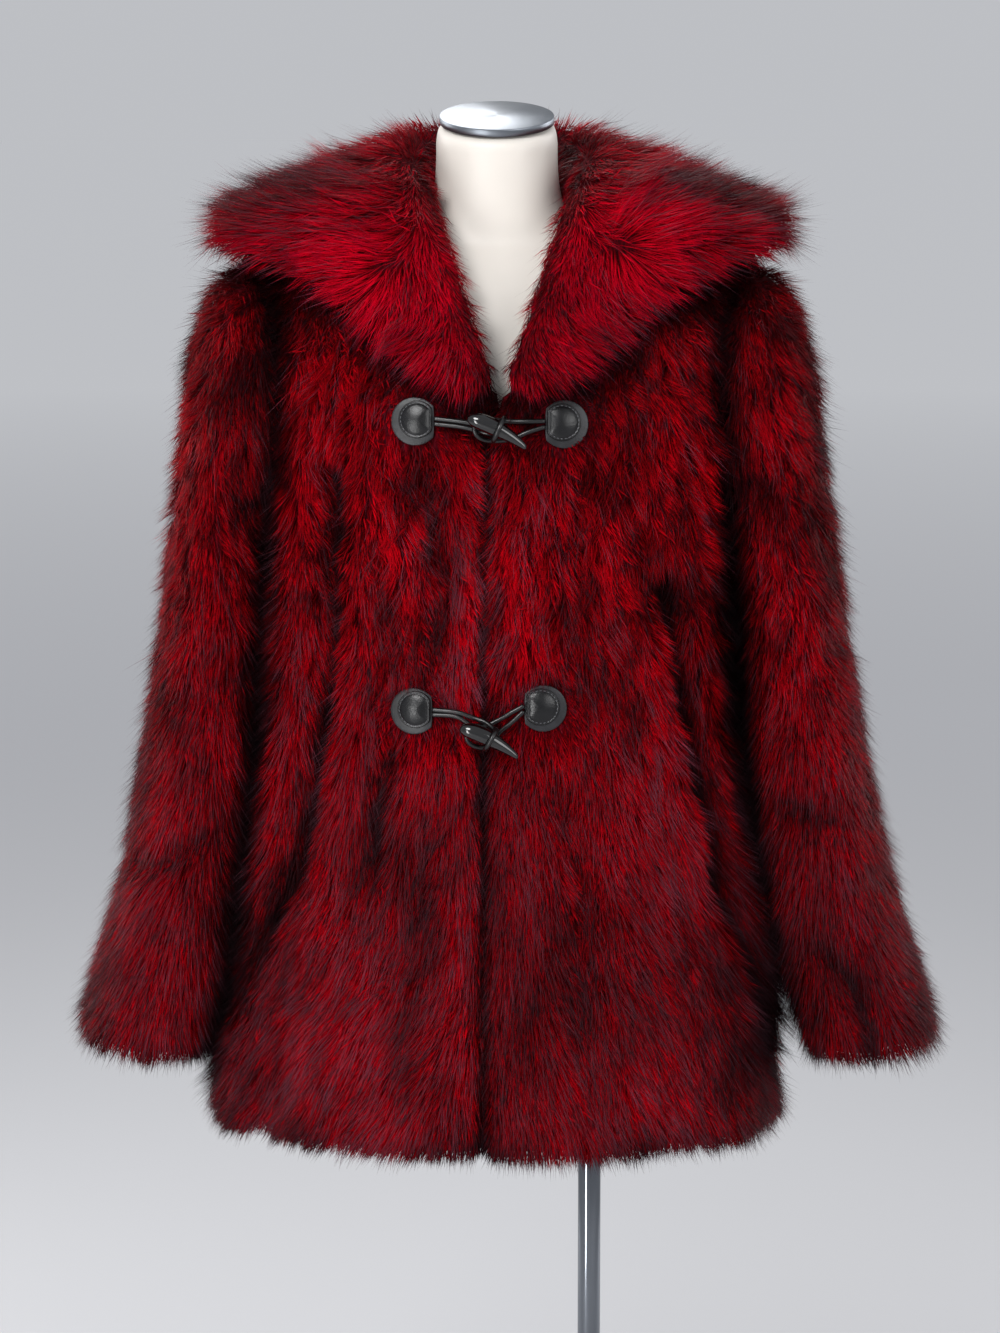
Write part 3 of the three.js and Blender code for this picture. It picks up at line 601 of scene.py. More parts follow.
# The brightness column holds painted light and shade as well as the dye's own tone: the patches on the sides,
# which turn from the lamps, are painted darker as painted shade.
SMOKE_AND_SHADE = [  # patches of the dye and of painted light and shade: middle, how far it reaches, how much smokier, and how much brighter
    ((-0.050, -0.15, 1.10), (0.030, 0.08, 0.060), 0.4, -0.08),
    ((-0.028, -0.15, 1.06), (0.017, 0.08, 0.100), 1.0, 0.20),
    ((0.012, -0.15, 1.03), (0.016, 0.08, 0.036), 0.8, 0.14),
    ((-0.165, -0.12, 1.01), (0.016, 0.08, 0.080), 0.6, 0.12),
    ((-0.085, -0.15, 0.80), (0.040, 0.08, 0.080), 0.5, -0.04),
    ((-0.150, -0.13, 0.70), (0.060, 0.10, 0.070), 0.5, 0.02),
    ((-0.205, -0.10, 0.72), (0.030, 0.10, 0.090), 0.5, -0.12),
    ((0.180, -0.11, 0.98), (0.030, 0.08, 0.120), 0.4, -0.12),
    ((0.070, -0.15, 0.72), (0.050, 0.08, 0.060), 0.2, 0.04),
    ((0.215, -0.10, 0.72), (0.040, 0.10, 0.080), 0.5, -0.14),
    ((-0.290, -0.05, 0.76), (0.050, 0.10, 0.090), 0.4, 0.02),
    ((-0.330, 0.00, 0.90), (0.040, 0.10, 0.160), 0.6, -0.06),
    ((0.290, -0.05, 0.95), (0.040, 0.10, 0.090), 0.3, 0.02),
    ((0.330, -0.03, 0.76), (0.050, 0.10, 0.100), 0.5, 0.04),
    ((0.150, -0.02, 1.345), (0.055, 0.05, 0.030), 0.8, -0.30),
    ((-0.150, -0.01, 1.350), (0.055, 0.05, 0.028), 0.8, -0.30),
    ((-0.110, -0.10, 1.13), (0.040, 0.10, 0.070), -0.3, 0.06),
    ((0.120, -0.10, 1.16), (0.060, 0.10, 0.050), -0.3, 0.08),
    ((0.060, -0.15, 0.86), (0.040, 0.10, 0.070), -0.3, 0.08),
    ((-0.087, -0.10, 1.31), (0.045, 0.08, 0.030), -0.4, 0.14),
    ((0.095, -0.10, 1.32), (0.045, 0.08, 0.030), -0.4, 0.14),
    ((-0.240, -0.08, 1.10), (0.040, 0.10, 0.120), -0.2, 0.06),
    ((0.245, -0.08, 1.10), (0.040, 0.10, 0.110), -0.2, 0.02),
    ((-0.060, 0.15, 0.95), (0.060, 0.08, 0.120), 0.4, -0.08),
    ((0.110, 0.14, 0.80), (0.060, 0.08, 0.100), 0.4, -0.08),
    ((0.000, 0.14, 1.25), (0.090, 0.08, 0.050), -0.3, 0.08),
]
print(len(SMOKE_AND_SHADE), "smoky patches")


# %% Stroke, lift, length, growth and tone
TUFT_SEED = 1795412050  # any whole number, kept: without one the noise is seeded by the clock
noise.seed_set(TUFT_SEED)


def wander(points, scale, seed):
    """A slow random vector at each point, with about scale waves to the metre. The seed sets it apart."""
    shift = Vector((seed, seed * 2.3, seed * 5.1))
    return np.array([noise.noise_vector(Vector(point * scale) + shift) for point in points])


def stroke_down(points):
    """Down the cloth, leaning outwards towards the hem, and more so on the wearer's right."""
    low = np.clip((1.12 - points[:, 2]) / 0.4, 0, 1)
    lean = np.where(points[:, 0] < 0, -0.42, 0.20) * low * np.clip(np.abs(points[:, 0]) / 0.06, 0, 1)
    return np.stack([lean, np.zeros(len(points)), np.full(len(points), -1.0)], axis=1)


def roll_distance(points):
    """Each point's distance from the roll line, on the nearer half, and the step to it."""
    sides = [off_line(points, [(s * x, y, z) for x, y, z in zip(*ROLL_LINE.values())]) for s in (1, -1)]
    nearer = (sides[0][0] < sides[1][0])[:, None]
    return np.minimum(sides[0][0], sides[1][0]), np.where(nearer, sides[0][1], sides[1][1])


def stroke_collar(points):
    """Away from the roll line, opening like a star in each wing, and down along the sides of the V."""
    distance, to_roll = roll_distance(points)
    stroke = unit(-to_roll) + (0, 0, -0.25)
    for star in STARS:
        gap = points - star
        near = 0.50 * np.exp(-((np.linalg.norm(gap, axis=1) / 0.075) ** 2))[:, None]
        stroke = stroke * (1 - near) + unit(gap) * near
    beside = (np.clip(1 - distance / 0.035, 0, 1) * (points[:, 1] < -0.03))[:, None]
    down = np.tile((0.0, -0.3, -1.0), (len(points), 1))
    down[:, 0] = -0.30 * np.sign(points[:, 0])
    return unit(stroke) * (1 - 0.8 * beside) + down * 0.8 * beside


def round_fastenings(points):
    """How far a hair may reach before it covers a patch or a cord, how pressed it is, and the way out."""
    front = points[:, 1] < -0.06
    reach, pressed, out = np.full(len(points), 0.05), np.zeros(len(points)), np.zeros_like(points)
    flat = points * (1, 0, 1)
    for x, z, radius in zip(*FASTENINGS.values()):
        gap = flat - (x, 0, z)
        edge = np.linalg.norm(gap, axis=1) - radius
        above = np.clip(gap[:, 2] / radius, -1, 1)
        reach = np.where(front, np.minimum(reach, edge + 0.006 + 0.016 * np.clip(-above, 0, 1)), reach)
        near = np.where(front, np.clip(1 - edge / 0.018, 0, 1), 0)
        pressed = np.maximum(pressed, near)
        out += (near * np.clip(1 + above, 0, 1))[:, None] * unit(gap * (1, 1, 0.4))
    for line in CORDS:
        gap = off_line(flat, line)[0]
        reach = np.where(front, np.minimum(reach, gap + 0.010), reach)
        pressed = np.maximum(pressed, np.where(front, np.clip(1 - gap / 0.016, 0, 1), 0))
    return reach, pressed, out


# %% Tables for the comb
FRONTS = ("front_left", "front_right")
# How bright the pile is on each piece: the fur's own red, with painted light and shade. Pieces that turn from
# the key lamp, the sleeves and the wearer's left front, are painted darker, and the collar lighter.
BRIGHTNESS = {
    "front_left": 0.52,
    "front_right": 0.56,
    "back": 0.57,
    "sleeve_left": 0.48,
    "sleeve_right": 0.51,
    "collar": 0.61,
}
CREASE_SHADE = {
    "front_left": 0.70,
    "front_right": 0.70,
    "back": 0.26,
    "sleeve_left": 0.40,
    "sleeve_right": 0.40,
}
RUFFLE = {"collar": 0.5, "sleeve_left": 0.35, "sleeve_right": 0.35}
BODY_RUFFLE = 0.6
FULL_SIDE = {"middle": (0.205, -0.01, 0.735), "reach": (0.035, 0.12, 0.075)}  # the skirt stands out here
LAP = {"x": -0.012, "top": 1.20}  # where one front lies over the other


def closeness(points, middle, size):
    """1 in the middle of a soft patch, fading to 0 round it."""
    return np.exp(-np.sum(((points - middle) / size) ** 2, axis=1))


print("brightest pile:", max(BRIGHTNESS, key=BRIGHTNESS.get))


# %% The pile before any piece's own features
def even_pile(name, points):
    """Lift, tone, length, smoke and ruffle, with slow noise in them that is streaked down the cloth."""
    streaked = points * (1, 1, 0.45)
    patch = wander(streaked, 16, 8.3)
    upper = np.clip((points[:, 2] - 0.88) / 0.20, 0, 1)
    pile = SimpleNamespace()
    pile.lift = 0.40 + 0.06 * upper + 0.24 * patch[:, 0] + 0.20 * wander(streaked, 45, 6.6)[:, 1]
    pile.tone = BRIGHTNESS[name] + 0.02 * (1 - upper) + 0.15 * patch[:, 1]
    pile.tone += (0.14 + 0.12 * upper) * wander(streaked, 52, 2.9)[:, 2]
    pile.longer = 1.0 + 0.20 * wander(points, 30, 3.3)[:, 0]
    pile.smoky = 0.42 + 0.50 * (1 - upper) + 0.4 * patch[:, 2]
    for middle, size, smokier, brighter in SMOKE_AND_SHADE:
        near = closeness(points, middle, size)
        pile.smoky += smokier * near
        # painted light and shade, with the dye's own tone
        pile.tone += brighter * near
    calmer_below = 0.0 if name == "collar" else 0.3
    pile.ruffle = RUFFLE.get(name, BODY_RUFFLE) + calmer_below * (2 * upper - 1)
    return pile


# %% The collar's own features
def comb_collar(pile, points, normals):
    """Short beside the roll line and inside the neck, with painted shade along the roll line and along the
    wings' lower edges.
    """
    pile.stroke = stroke_collar(points)
    nearer_neck = points * (0.86, 0.86, 1) - (0, 0, 0.06)
    pile.facing = np.sum(normals * unit(points - nearer_neck), axis=1)
    pile.growth = np.clip(0.6 + 0.9 * pile.facing, 0.12, 1)
    distance = roll_distance(points)[0]
    inward = -np.sum(normals * unit(points * (1, 1, 0)), axis=1)
    inner = np.clip(inward - 0.1, 0, 1) * (points[:, 2] > 1.2)
    pile.longer *= np.clip(0.42 + distance / 0.05, 0.42, 1.05) * (1 - 0.4 * inner)
    pile.lift *= np.clip(0.60 + distance / 0.07, 0.60, 1.25)
    # painted shade where the collar turns over at its roll line
    pile.tone -= 0.45 * np.clip(1 - distance / 0.010, 0, 1)
    # painted shade along the wings' lower edges
    for border in COLLAR_BORDER:
        pile.tone -= 0.40 * np.clip(1.4 - off_line(points, border, (1, 0.6, 1))[0] / 0.022, 0, 1)


# %% Features of the fronts, the back and the sleeves
def comb_panel(pile, name, points, normals):
    """Stroked down, grown on the outer side only, and flat in the creases. The tone is painted darker in the
    creases, as painted shade, and lighter on the ridges, as painted light.
    """
    pile.stroke = unit(stroke_down(points))
    pile.facing = np.sum(normals * OUTWARD[name](points), axis=1)
    pile.growth = np.clip((pile.facing - 0.30) / 0.30, 0, 1)
    inside, to_crease = creased[name]
    pile.stroke += 0.25 * to_crease
    pile.longer *= 1 - 0.35 * np.clip(inside, 0, 1)
    pile.lift *= 1 - 0.25 * inside
    # painted shade in the creases, and painted light on the ridges
    pile.tone -= CREASE_SHADE[name] * np.clip(inside, 0, 1.2) + 0.14 * np.clip(inside, -1, 0)


def comb_lap(pile, points):
    """Where the fronts meet: one line of painted shade, and brighter pile that parts from it."""
    aside = points[:, 0] - LAP["x"]
    line = np.clip(1.25 - np.abs(aside) / 0.009, 0, 1) * (points[:, 2] < LAP["top"])
    beside = np.exp(-((aside / 0.045) ** 2)) * (points[:, 2] > 0.90)
    # a line of painted shade where one front lies over the other
    pile.tone += 0.08 * beside * (1 - line) - 0.48 * line
    pile.longer *= 1 - 0.45 * line
    pile.stroke[:, 0] -= 0.30 * beside * np.sign(aside)


def comb_hem(pile, name, points):
    """The cut edge is thicker, shorter and darker, but stays long at the side seams."""
    pile.seam = side_seam.get(name, 0)
    low = np.clip(1 - (points[:, 2] - points[:, 2].min()) / 0.030, 0, 1)
    pile.growth *= 1 + 0.8 * low
    pile.longer *= 1 - 0.35 * low * (1 - pile.seam)
    pile.tone -= 0.15 * low


def comb_sides(pile, name, points):
    """At the side seams the pile runs across, and on the wearer's left the skirt stands out by the cuff."""
    across = -0.9 if name == "back" else 0.9
    pile.growth = np.maximum(pile.growth, 1.3 * pile.seam * (pile.facing > -0.4))
    pile.stroke = unit(pile.stroke) + (across * pile.seam)[:, None] * (0, 1, 0)
    full = closeness(points, FULL_SIDE["middle"], FULL_SIDE["reach"])
    pile.longer *= (1 + 0.15 * pile.seam) * (1 + 0.5 * full)
    pile.lift += 0.35 * full
    pile.growth = np.maximum(pile.growth * (1 + full), 1.5 * full * (pile.facing > -0.3))


# %% Features that any piece can have
def comb_crowded(pile, name, count):
    """Short and flat under the collar, and painted dark there as painted shade. Along the armholes it is
    painted dark too, as painted shade, but dense and upright, so that no light comes through between the
    sleeve and the body."""
    armhole, shaded = beside_arm.get(name, np.zeros(count)), under_collar[name]
    pile.longer *= (1 - 0.45 * shaded) * (1 + 0.25 * armhole)
    pile.lift = pile.lift * (1 - 0.5 * shaded) + 0.50 * armhole
    pile.growth = np.maximum(pile.growth * (1 + 1.3 * armhole), 1.2 * armhole * (pile.facing > -0.3))
    # painted shade under the collar and along the armholes
    pile.tone -= 0.60 * np.maximum(shaded, armhole)


def comb_fastenings(pile, points):
    """Pressed flat, stroked away, and painted a little darker round the patches and cords, as painted shade.
    """
    reach, pressed, out = round_fastenings(points)
    pile.longer = np.minimum(pile.longer, np.clip(reach / 0.026, 0.10, 2))
    pile.lift *= 1 - 0.75 * pressed
    pile.growth = np.where(reach < -0.001, 0, pile.growth)
    pile.stroke += 0.9 * out
    pile.tone -= 0.10 * pressed


# %% Comb each piece
COMBED = ("stroke", "lift", "longer", "growth", "tone", "ruffle", "smoky")  # what the fur tree reads


def comb(name):
    """Takes one piece through its steps, and stores the result as attributes of its mesh."""
    mesh = cloth[name].data
    points, normals = column(mesh, "co"), column(mesh, "normal")
    pile = even_pile(name, points)
    if name == "collar":
        comb_collar(pile, points, normals)
    else:
        comb_panel(pile, name, points, normals)
        comb_hem(pile, name, points)
    if name in FRONTS:
        comb_lap(pile, points)
    comb_crowded(pile, name, len(points))
    if name in BODY_PIECES:
        comb_sides(pile, name, points)
    pile.stroke = unit(pile.stroke) + 0.30 * wander(points, 8, 1.7)
    pile.stroke += (0.15 + 0.25 * pile.ruffle)[:, None] * wander(points, 34, 4.1)
    if name in FRONTS or name == "collar":
        comb_fastenings(pile, points)
    pile.stroke = unit(pile.stroke - normals * np.sum(pile.stroke * normals, axis=1)[:, None])
    pile.smoky = np.clip(pile.smoky, 0.15, 1.4)
    for label in COMBED:
        values = getattr(pile, label)
        vector = values.ndim == 2
        layer = mesh.attributes.new(label, "FLOAT_VECTOR" if vector else "FLOAT", "POINT")
        layer.data.foreach_set("vector" if vector else "value", values.astype(np.float32).ravel())
    mesh.materials.append(UNDERFUR)
    mesh.materials.append(BACKING)
    grown = np.array([pile.growth[list(face.vertices)].mean() for face in mesh.polygons])
    mesh.polygons.foreach_set("material_index", (grown < 0.06).astype(np.int32))


for name in cloth:
    comb(name)
print("combed:", ", ".join(cloth))

# %% [markdown]
# ## One hair
#
# Real pile hairs are less than a tenth of a millimetre thick. In a picture of the whole jacket they cling
# together in fine locks, about a millimetre wide. So each hair of the pile is one such lock: a long kite of
# two faces, folded in the middle, so that it first stands up and then lies over. Eight kites bend
# differently. The silk and guard hairs are single thin blades, drawn thicker than real so that they show.
# All are one unit long and one unit wide, and get their size when they grow.

# %% Hair shapes
FOLD_AT = 0.45


def hair_shapes(label, count, blade):
    """A collection of hairs that lie along Z, and bow towards +Y."""
    group = bpy.data.collections.new(label)
    chance = np.random.default_rng(7)
    for number in range(count):
        bend, sway = 0.08 + 0.12 * chance.random(), 3.0 * (chance.random() - 0.5)
        if blade:
            corners = [(-0.5, 0, 0.1), (0.5, 0, 0.1), (sway, -bend, 1)]
            faces = [(0, 2, 1)]
        else:
            corners = [(0, 0, 0), (-0.5, bend * 0.6, FOLD_AT), (0.5, bend * 0.6, FOLD_AT), (sway, -bend, 1)]
            faces = [(0, 1, 2), (1, 3, 2)]
        mesh = bpy.data.meshes.new(f"{label}_{number}")
        mesh.from_pydata(corners, [], faces)
        layer = mesh.attributes.new("along", "FLOAT", "POINT")
        layer.data.foreach_set("value", [corner[2] for corner in corners])
        group.objects.link(bpy.data.objects.new(f"{label}_{number}", mesh))
    return group


LOCKS = hair_shapes("lock", 8, False)
BLADES = hair_shapes("blade", 4, True)

# %% [markdown]
# ## Growing the fur with Geometry Nodes
#
# The tree scatters points over the cloth and stands a hair on each. The hair follows the stroke, lifted off
# the cloth. Long cells, about a centimetre wide, pull the tips together and share one tone, which makes the
# silky tufts that acrylic pile falls into. The tree then realizes the hairs, writes the two numbers of the
# UV map, and turns the shading normals most of the way to the cloth's own. Light then falls on the pile as
# on a soft body, not on each hair as on a splinter.


# %% The fur tree
SIZES = ("Density", "Smoke Share", "Length", "Width", "Lift", "Jitter", "Tuft Size", "Gather", "Tone Shift")


def fur_inputs(tree):
    face = tree.interface
    face.new_socket("Cloth", in_out="INPUT", socket_type="NodeSocketGeometry")
    for label in SIZES:
        face.new_socket(label, in_out="INPUT", socket_type="NodeSocketFloat")
    face.new_socket("Seed", in_out="INPUT", socket_type="NodeSocketInt")
    face.new_socket("Hairs", in_out="INPUT", socket_type="NodeSocketCollection")
    face.new_socket("Finish", in_out="INPUT", socket_type="NodeSocketMaterial")
    face.new_socket("Fur", in_out="OUTPUT", socket_type="NodeSocketGeometry")
    return node(tree, "NodeGroupInput").outputs


def fur_tree():
    """The tree that grows one kind of hair on one cloth piece."""
    tree = bpy.data.node_groups.new("fur", "GeometryNodeTree")
    given = fur_inputs(tree)

    # Short names for the nodes that come again and again.
    def numbered(values):
        return {f"_{i}": value for i, value in enumerate(values)}

    def maths(kind, *values):
        return node(tree, "ShaderNodeMath", {"operation": kind}, **numbered(values)).outputs[0]

    def vector(kind, *values):
        return node(tree, "ShaderNodeVectorMath", {"operation": kind}, **numbered(values)).outputs[0]

    def scaled(what, amount):
        return node(tree, "ShaderNodeVectorMath", {"operation": "SCALE"}, _0=what, Scale=amount).outputs[0]

    def named(label, kind="FLOAT"):
        return node(tree, "GeometryNodeInputNamedAttribute", {"data_type": kind}, Name=label).outputs[0]

    def chance(low, high, salt):
        """A random number for each hair. The salt keeps it apart from the tree's other ones."""
        seed = maths("ADD", given["Seed"], float(salt))
        draw = node(tree, "FunctionNodeRandomValue", {"data_type": "FLOAT"}, Min=low, Max=high, Seed=seed)
        return draw.outputs[1]

    def stored(geometry, label, value, kind="FLOAT", domain="POINT"):
        settings = {"data_type": kind, "domain": domain}
        store = node(tree, "GeometryNodeStoreNamedAttribute", settings, Name=label)
        tree.links.new(geometry, store.inputs["Geometry"])
        tree.links.new(value, store.inputs["Value"])
        return store.outputs[0]

    # Scatter the roots. Guard hairs grow thicker in the smoky patches, by their smoke share.
    smoky = maths("MULTIPLY", given["Smoke Share"], maths("SUBTRACT", named("smoky"), 1.0))
    density = maths("MULTIPLY", given["Density"], named("growth"))
    density = maths("MULTIPLY", density, maths("ADD", 1.0, smoky))
    scatter = {"Density": density, "Seed": given["Seed"]}
    grown = node(tree, "GeometryNodeDistributePointsOnFaces", _0=given["Cloth"], **scatter)
    normal = grown.outputs["Normal"]

    # Find each root's tuft: a cell twice as long as it is wide, with three random numbers of its own.
    place = node(tree, "GeometryNodeInputPosition").outputs[0]
    squeezed = vector("MULTIPLY", place, (1, 1, 0.5))
    cell_scale = maths("DIVIDE", 1.0, given["Tuft Size"])
    cells = node(tree, "ShaderNodeTexVoronoi", {"feature": "F1"}, Vector=squeezed, Scale=cell_scale)
    to_middle = vector("SUBTRACT", vector("MULTIPLY", cells.outputs["Position"], (1, 1, 2)), place)
    own = node(tree, "ShaderNodeSeparateXYZ", _0=cells.outputs["Color"])
    own_tone, own_lift = [maths("SUBTRACT", own.outputs[axis], 0.5) for axis in ("X", "Y")]

    # Bend the stroke towards the tuft's middle, by the tuft's own kick, and at random.
    kick = vector("SUBTRACT", cells.outputs["Color"], (0.5, 0.5, 0.5))
    kick = scaled(kick, maths("MULTIPLY", named("ruffle"), 1.1))
    pull = vector("ADD", scaled(to_middle, maths("DIVIDE", given["Gather"], given["Length"])), kick)
    corners = {"_0": (-1, -1, -1), "_1": (1, 1, 1), "Seed": given["Seed"]}
    jitter = node(tree, "FunctionNodeRandomValue", {"data_type": "FLOAT_VECTOR"}, **corners)
    stroke = vector("ADD", named("stroke", "FLOAT_VECTOR"), pull)
    stroke = vector("ADD", stroke, scaled(jitter.outputs[0], given["Jitter"]))
    rise = maths("ADD", named("lift"), maths("MULTIPLY", own_lift, 0.16))
    rise = maths("MULTIPLY", maths("ADD", rise, chance(-0.08, 0.12, 3)), given["Lift"])
    growing = vector("NORMALIZE", vector("ADD", stroke, scaled(normal, maths("MAXIMUM", rise, 0.06))))

    # The shading normal leans from the cloth's own towards the side of the hair that faces out.
    facing_out = {"_0": normal, "_1": growing}
    upright_share = node(tree, "ShaderNodeVectorMath", {"operation": "DOT_PRODUCT"}, **facing_out)
    across = vector("SUBTRACT", normal, scaled(growing, upright_share.outputs["Value"]))
    soft = vector("NORMALIZE", vector("ADD", scaled(normal, 0.7), vector("NORMALIZE", across)))

    # The tone is the cloth's, with a share of the tuft's own and a little chance.
    contrast = maths("MULTIPLY_ADD", named("ruffle"), 0.17, 0.10)
    tuft_tone = maths("ADD", named("tone"), maths("MULTIPLY", own_tone, contrast))
    hair_tone = maths("ADD", given["Tone Shift"], chance(-0.09, 0.09, 11))
    shade = node(tree, "ShaderNodeClamp", Value=maths("ADD", tuft_tone, hair_tone), Min=0.01, Max=0.99)
    roots = stored(grown.outputs["Points"], "shade", shade.outputs[0])
    roots = stored(roots, "soft", soft, "FLOAT_VECTOR")

    # Stand a hair on each root: along its stroke, with its fold outwards, rolled a little, and to its size.
    upright = node(tree, "FunctionNodeAlignRotationToVector", {"axis": "Z"}, Vector=growing)
    aligned = {"Rotation": upright.outputs[0], "Vector": normal}
    flat = node(tree, "FunctionNodeAlignRotationToVector", {"axis": "Y", "pivot_axis": "Z"}, **aligned)
    roll = node(tree, "FunctionNodeAxisAngleToRotation", Axis=(0, 0, 1), Angle=chance(-0.6, 0.6, 5))
    both = {"_0": flat.outputs[0], "_1": roll.outputs[0]}
    turned = node(tree, "FunctionNodeRotateRotation", {"rotation_space": "LOCAL"}, **both)
    length = maths("MULTIPLY", maths("MULTIPLY", chance(0.75, 1.12, 9), given["Length"]), named("longer"))
    width = maths("MULTIPLY", chance(0.7, 1.3, 13), given["Width"])
    size = node(tree, "ShaderNodeCombineXYZ", X=width, Y=length, Z=length)
    apart = {"Separate__Children": True, "Reset__Children": True}
    kit = node(tree, "GeometryNodeCollectionInfo", Collection=given["Hairs"], **apart)
    fitted = {"Rotation": turned.outputs[0], "Scale": size.outputs[0], "Pick__Instance": True}
    hairs = node(tree, "GeometryNodeInstanceOnPoints", Points=roots, Instance=kit.outputs[0], **fitted)

    # Realize the hairs, write their UV map, and give them their shading normals and their finish.
    real = node(tree, "GeometryNodeRealizeInstances", _0=hairs.outputs[0])
    pair = node(tree, "ShaderNodeCombineXYZ", X=named("shade"), Y=named("along"))
    mapped = stored(real.outputs[0], "OFBake", pair.outputs[0], "FLOAT2", "CORNER")
    leaning = {"Mesh": mapped, "Custom__Normal": named("soft", "FLOAT_VECTOR")}
    shaded = node(tree, "GeometryNodeSetMeshNormal", {"mode": "FREE", "domain": "POINT"}, **leaning)
    finish = node(tree, "GeometryNodeSetMaterial", Geometry=shaded.outputs[0], Material=given["Finish"])
    result = node(tree, "NodeGroupOutput")
    tree.links.new(finish.outputs[0], result.inputs[0])
    return tree


FUR_TREE = fur_tree()
print("fur tree nodes:", len(FUR_TREE.nodes))

# %% [markdown]
# Each cloth piece grows three times: the pile, the finer red silk that stands through it, and the sparse
# guard hairs with their smoky tips. The two tables say how.

# %% Grow the fur on each cloth piece
RECIPES = {
    "pile": {"Smoke Share": 0.0, "Length": 0.022, "Width": 0.00115, "Lift": 1.1, "Jitter": 0.12,
             "Tuft Size": 0.011, "Gather": 0.55, "Tone Shift": -0.06, "Hairs": LOCKS, "Finish": PILE_HAIR},
    "silk": {"Smoke Share": 0.0, "Length": 0.026, "Width": 0.00072, "Lift": 1.25, "Jitter": 0.13,
             "Tuft Size": 0.010, "Gather": 0.45, "Tone Shift": 0.06, "Hairs": BLADES, "Finish": PILE_HAIR},
    "guard": {"Smoke Share": 1.0, "Length": 0.034, "Width": 0.00055, "Lift": 1.5, "Jitter": 0.18,
              "Tuft Size": 0.012, "Gather": 0.25, "Tone Shift": 0.04, "Hairs": BLADES,
              "Finish": GUARD_HAIR},
}
DENSITY = {  # hairs a square metre
    "front_left": {"pile": 60000, "silk": 320000, "guard": 130000},
    "front_right": {"pile": 60000, "silk": 320000, "guard": 130000},
    "back": {"pile": 45000, "silk": 190000, "guard": 80000},
    "sleeve_left": {"pile": 55000, "silk": 290000, "guard": 120000},
    "sleeve_right": {"pile": 55000, "silk": 290000, "guard": 120000},
    "collar": {"pile": 55000, "silk": 280000, "guard": 120000},
}


def grow(name, kind, seed):
    """One kind of hair on one cloth piece, as a plain mesh of its own."""
    hair = bpy.data.objects.new(f"{kind}_{name}", cloth[name].data.copy())
    bpy.context.scene.collection.objects.link(hair)
    growing = hair.modifiers.new("fur", "NODES")
    growing.node_group = FUR_TREE
    inputs = [item for item in FUR_TREE.interface.items_tree if item.in_out == "INPUT"]
    sockets = {item.name: item.identifier for item in inputs}
    recipe = RECIPES[kind] | {"Density": float(DENSITY[name][kind]), "Seed": seed}
    if name == "collar":
        recipe["Tuft Size"] *= 1.4
        recipe["Length"] *= 1.3
        recipe["Finish"] = GUARD_HAIR if kind == "guard" else COLLAR_HAIR
    for label, value in recipe.items():
        growing[sockets[label]] = value
    settled(hair)
    for label in (*COMBED, "shade", "along", "soft"):
        if label in hair.data.attributes:
            hair.data.attributes.remove(hair.data.attributes[label])
    return finished(hair, "fur_cloth", [])


fur = []
for number, name in enumerate(cloth):
    grown = [grow(name, kind, 11 * number + 3 * step) for step, kind in enumerate(RECIPES)]
    fur += grown
    faces = [len(hair.data.polygons) for hair in grown]
    print(name, faces, "faces, own normals:", grown[0].data.has_custom_normals)
print("faces in all the fur:", sum(len(hair.data.polygons) for hair in fur))

# %% [markdown]
# Each cloth piece is attached to the body, and the frame pieces that it stands for are hidden.


for name, piece in cloth.items():
    finished(piece, "fur_cloth", CLOTH[name][0])

# %% [markdown]
# ## Leather patches, horn toggles and cords
#
# Each end of a cord is sewn down between two pieces of leather. The base is a round with one straight side.
# On it lies a smaller piece in the shape of a D, stuffed a little, with a line of stitches pulled in round
# its curve. The cords leave from the straight side. The toggles are black horn, polished.
#
# Bases, toggles and cords keep the form of their solids. Their flat faces are joined, their edges rounded
# and their surfaces subdivided, until no facet shows.


# %% Refine a frame piece
def refined(name, sources, edge, levels, sharp=40, fuller=0.0):
    """A copy of frame pieces with its triangles joined, its sharp edges rounded or kept, and a fine
    surface. Subdividing draws a thin round piece in, so fuller says how far it is pushed out again."""
    piece = merged_copy(name, *sources)
    shape = bmesh.new()
    shape.from_mesh(piece.data)
    limits = {"angle_face_threshold": math.radians(20), "angle_shape_threshold": math.radians(60)}
    bmesh.ops.join_triangles(shape, faces=shape.faces, **limits)
    crease = shape.edges.layers.float.new("crease_edge")
    for side in shape.edges:
        if not edge and side.calc_face_angle(0) > math.radians(sharp):
            side[crease] = 1.0
    shape.to_mesh(piece.data)
    shape.free()
    if edge:
        rounding = piece.modifiers.new("edge", "BEVEL")
        rounding.width = edge
        rounding.segments = 2
        rounding.limit_method = "ANGLE"
        rounding.angle_limit = math.radians(sharp)
    fine = piece.modifiers.new("fine", "SUBSURF")
    fine.levels = fine.render_levels = levels
    settled(piece)
    if fuller:
        grown = column(piece.data, "co") + fuller * column(piece.data, "normal")
        piece.data.vertices.foreach_set("co", grown.ravel())
        piece.data.update()
    return smooth(piece)


# %% Leather, thread, horn and cord materials
def leather(name, dark, light, roughness):
    """Grained calf, dyed black: fine round pebbles break its highlight up, and wear rubs it a bit lighter."""
    material, tree, shader = new_material(name, Roughness=roughness)
    shader.inputs["Specular IOR Level"].default_value = 0.38
    rubbed = node(tree, "ShaderNodeTexNoise", _0=object_place(tree), Scale=every(11.1), Detail=3.0)
    paint(tree, shader, "Base Color", ramp(tree, rubbed.outputs["Fac"], (0.35, dark), (0.7, light)))
    pebbles = node(tree, "ShaderNodeTexVoronoi", _0=object_place(tree), Scale=every(0.91))
    bump(tree, shader, pebbles.outputs["Distance"], 0.22, 0.0004)
    return material


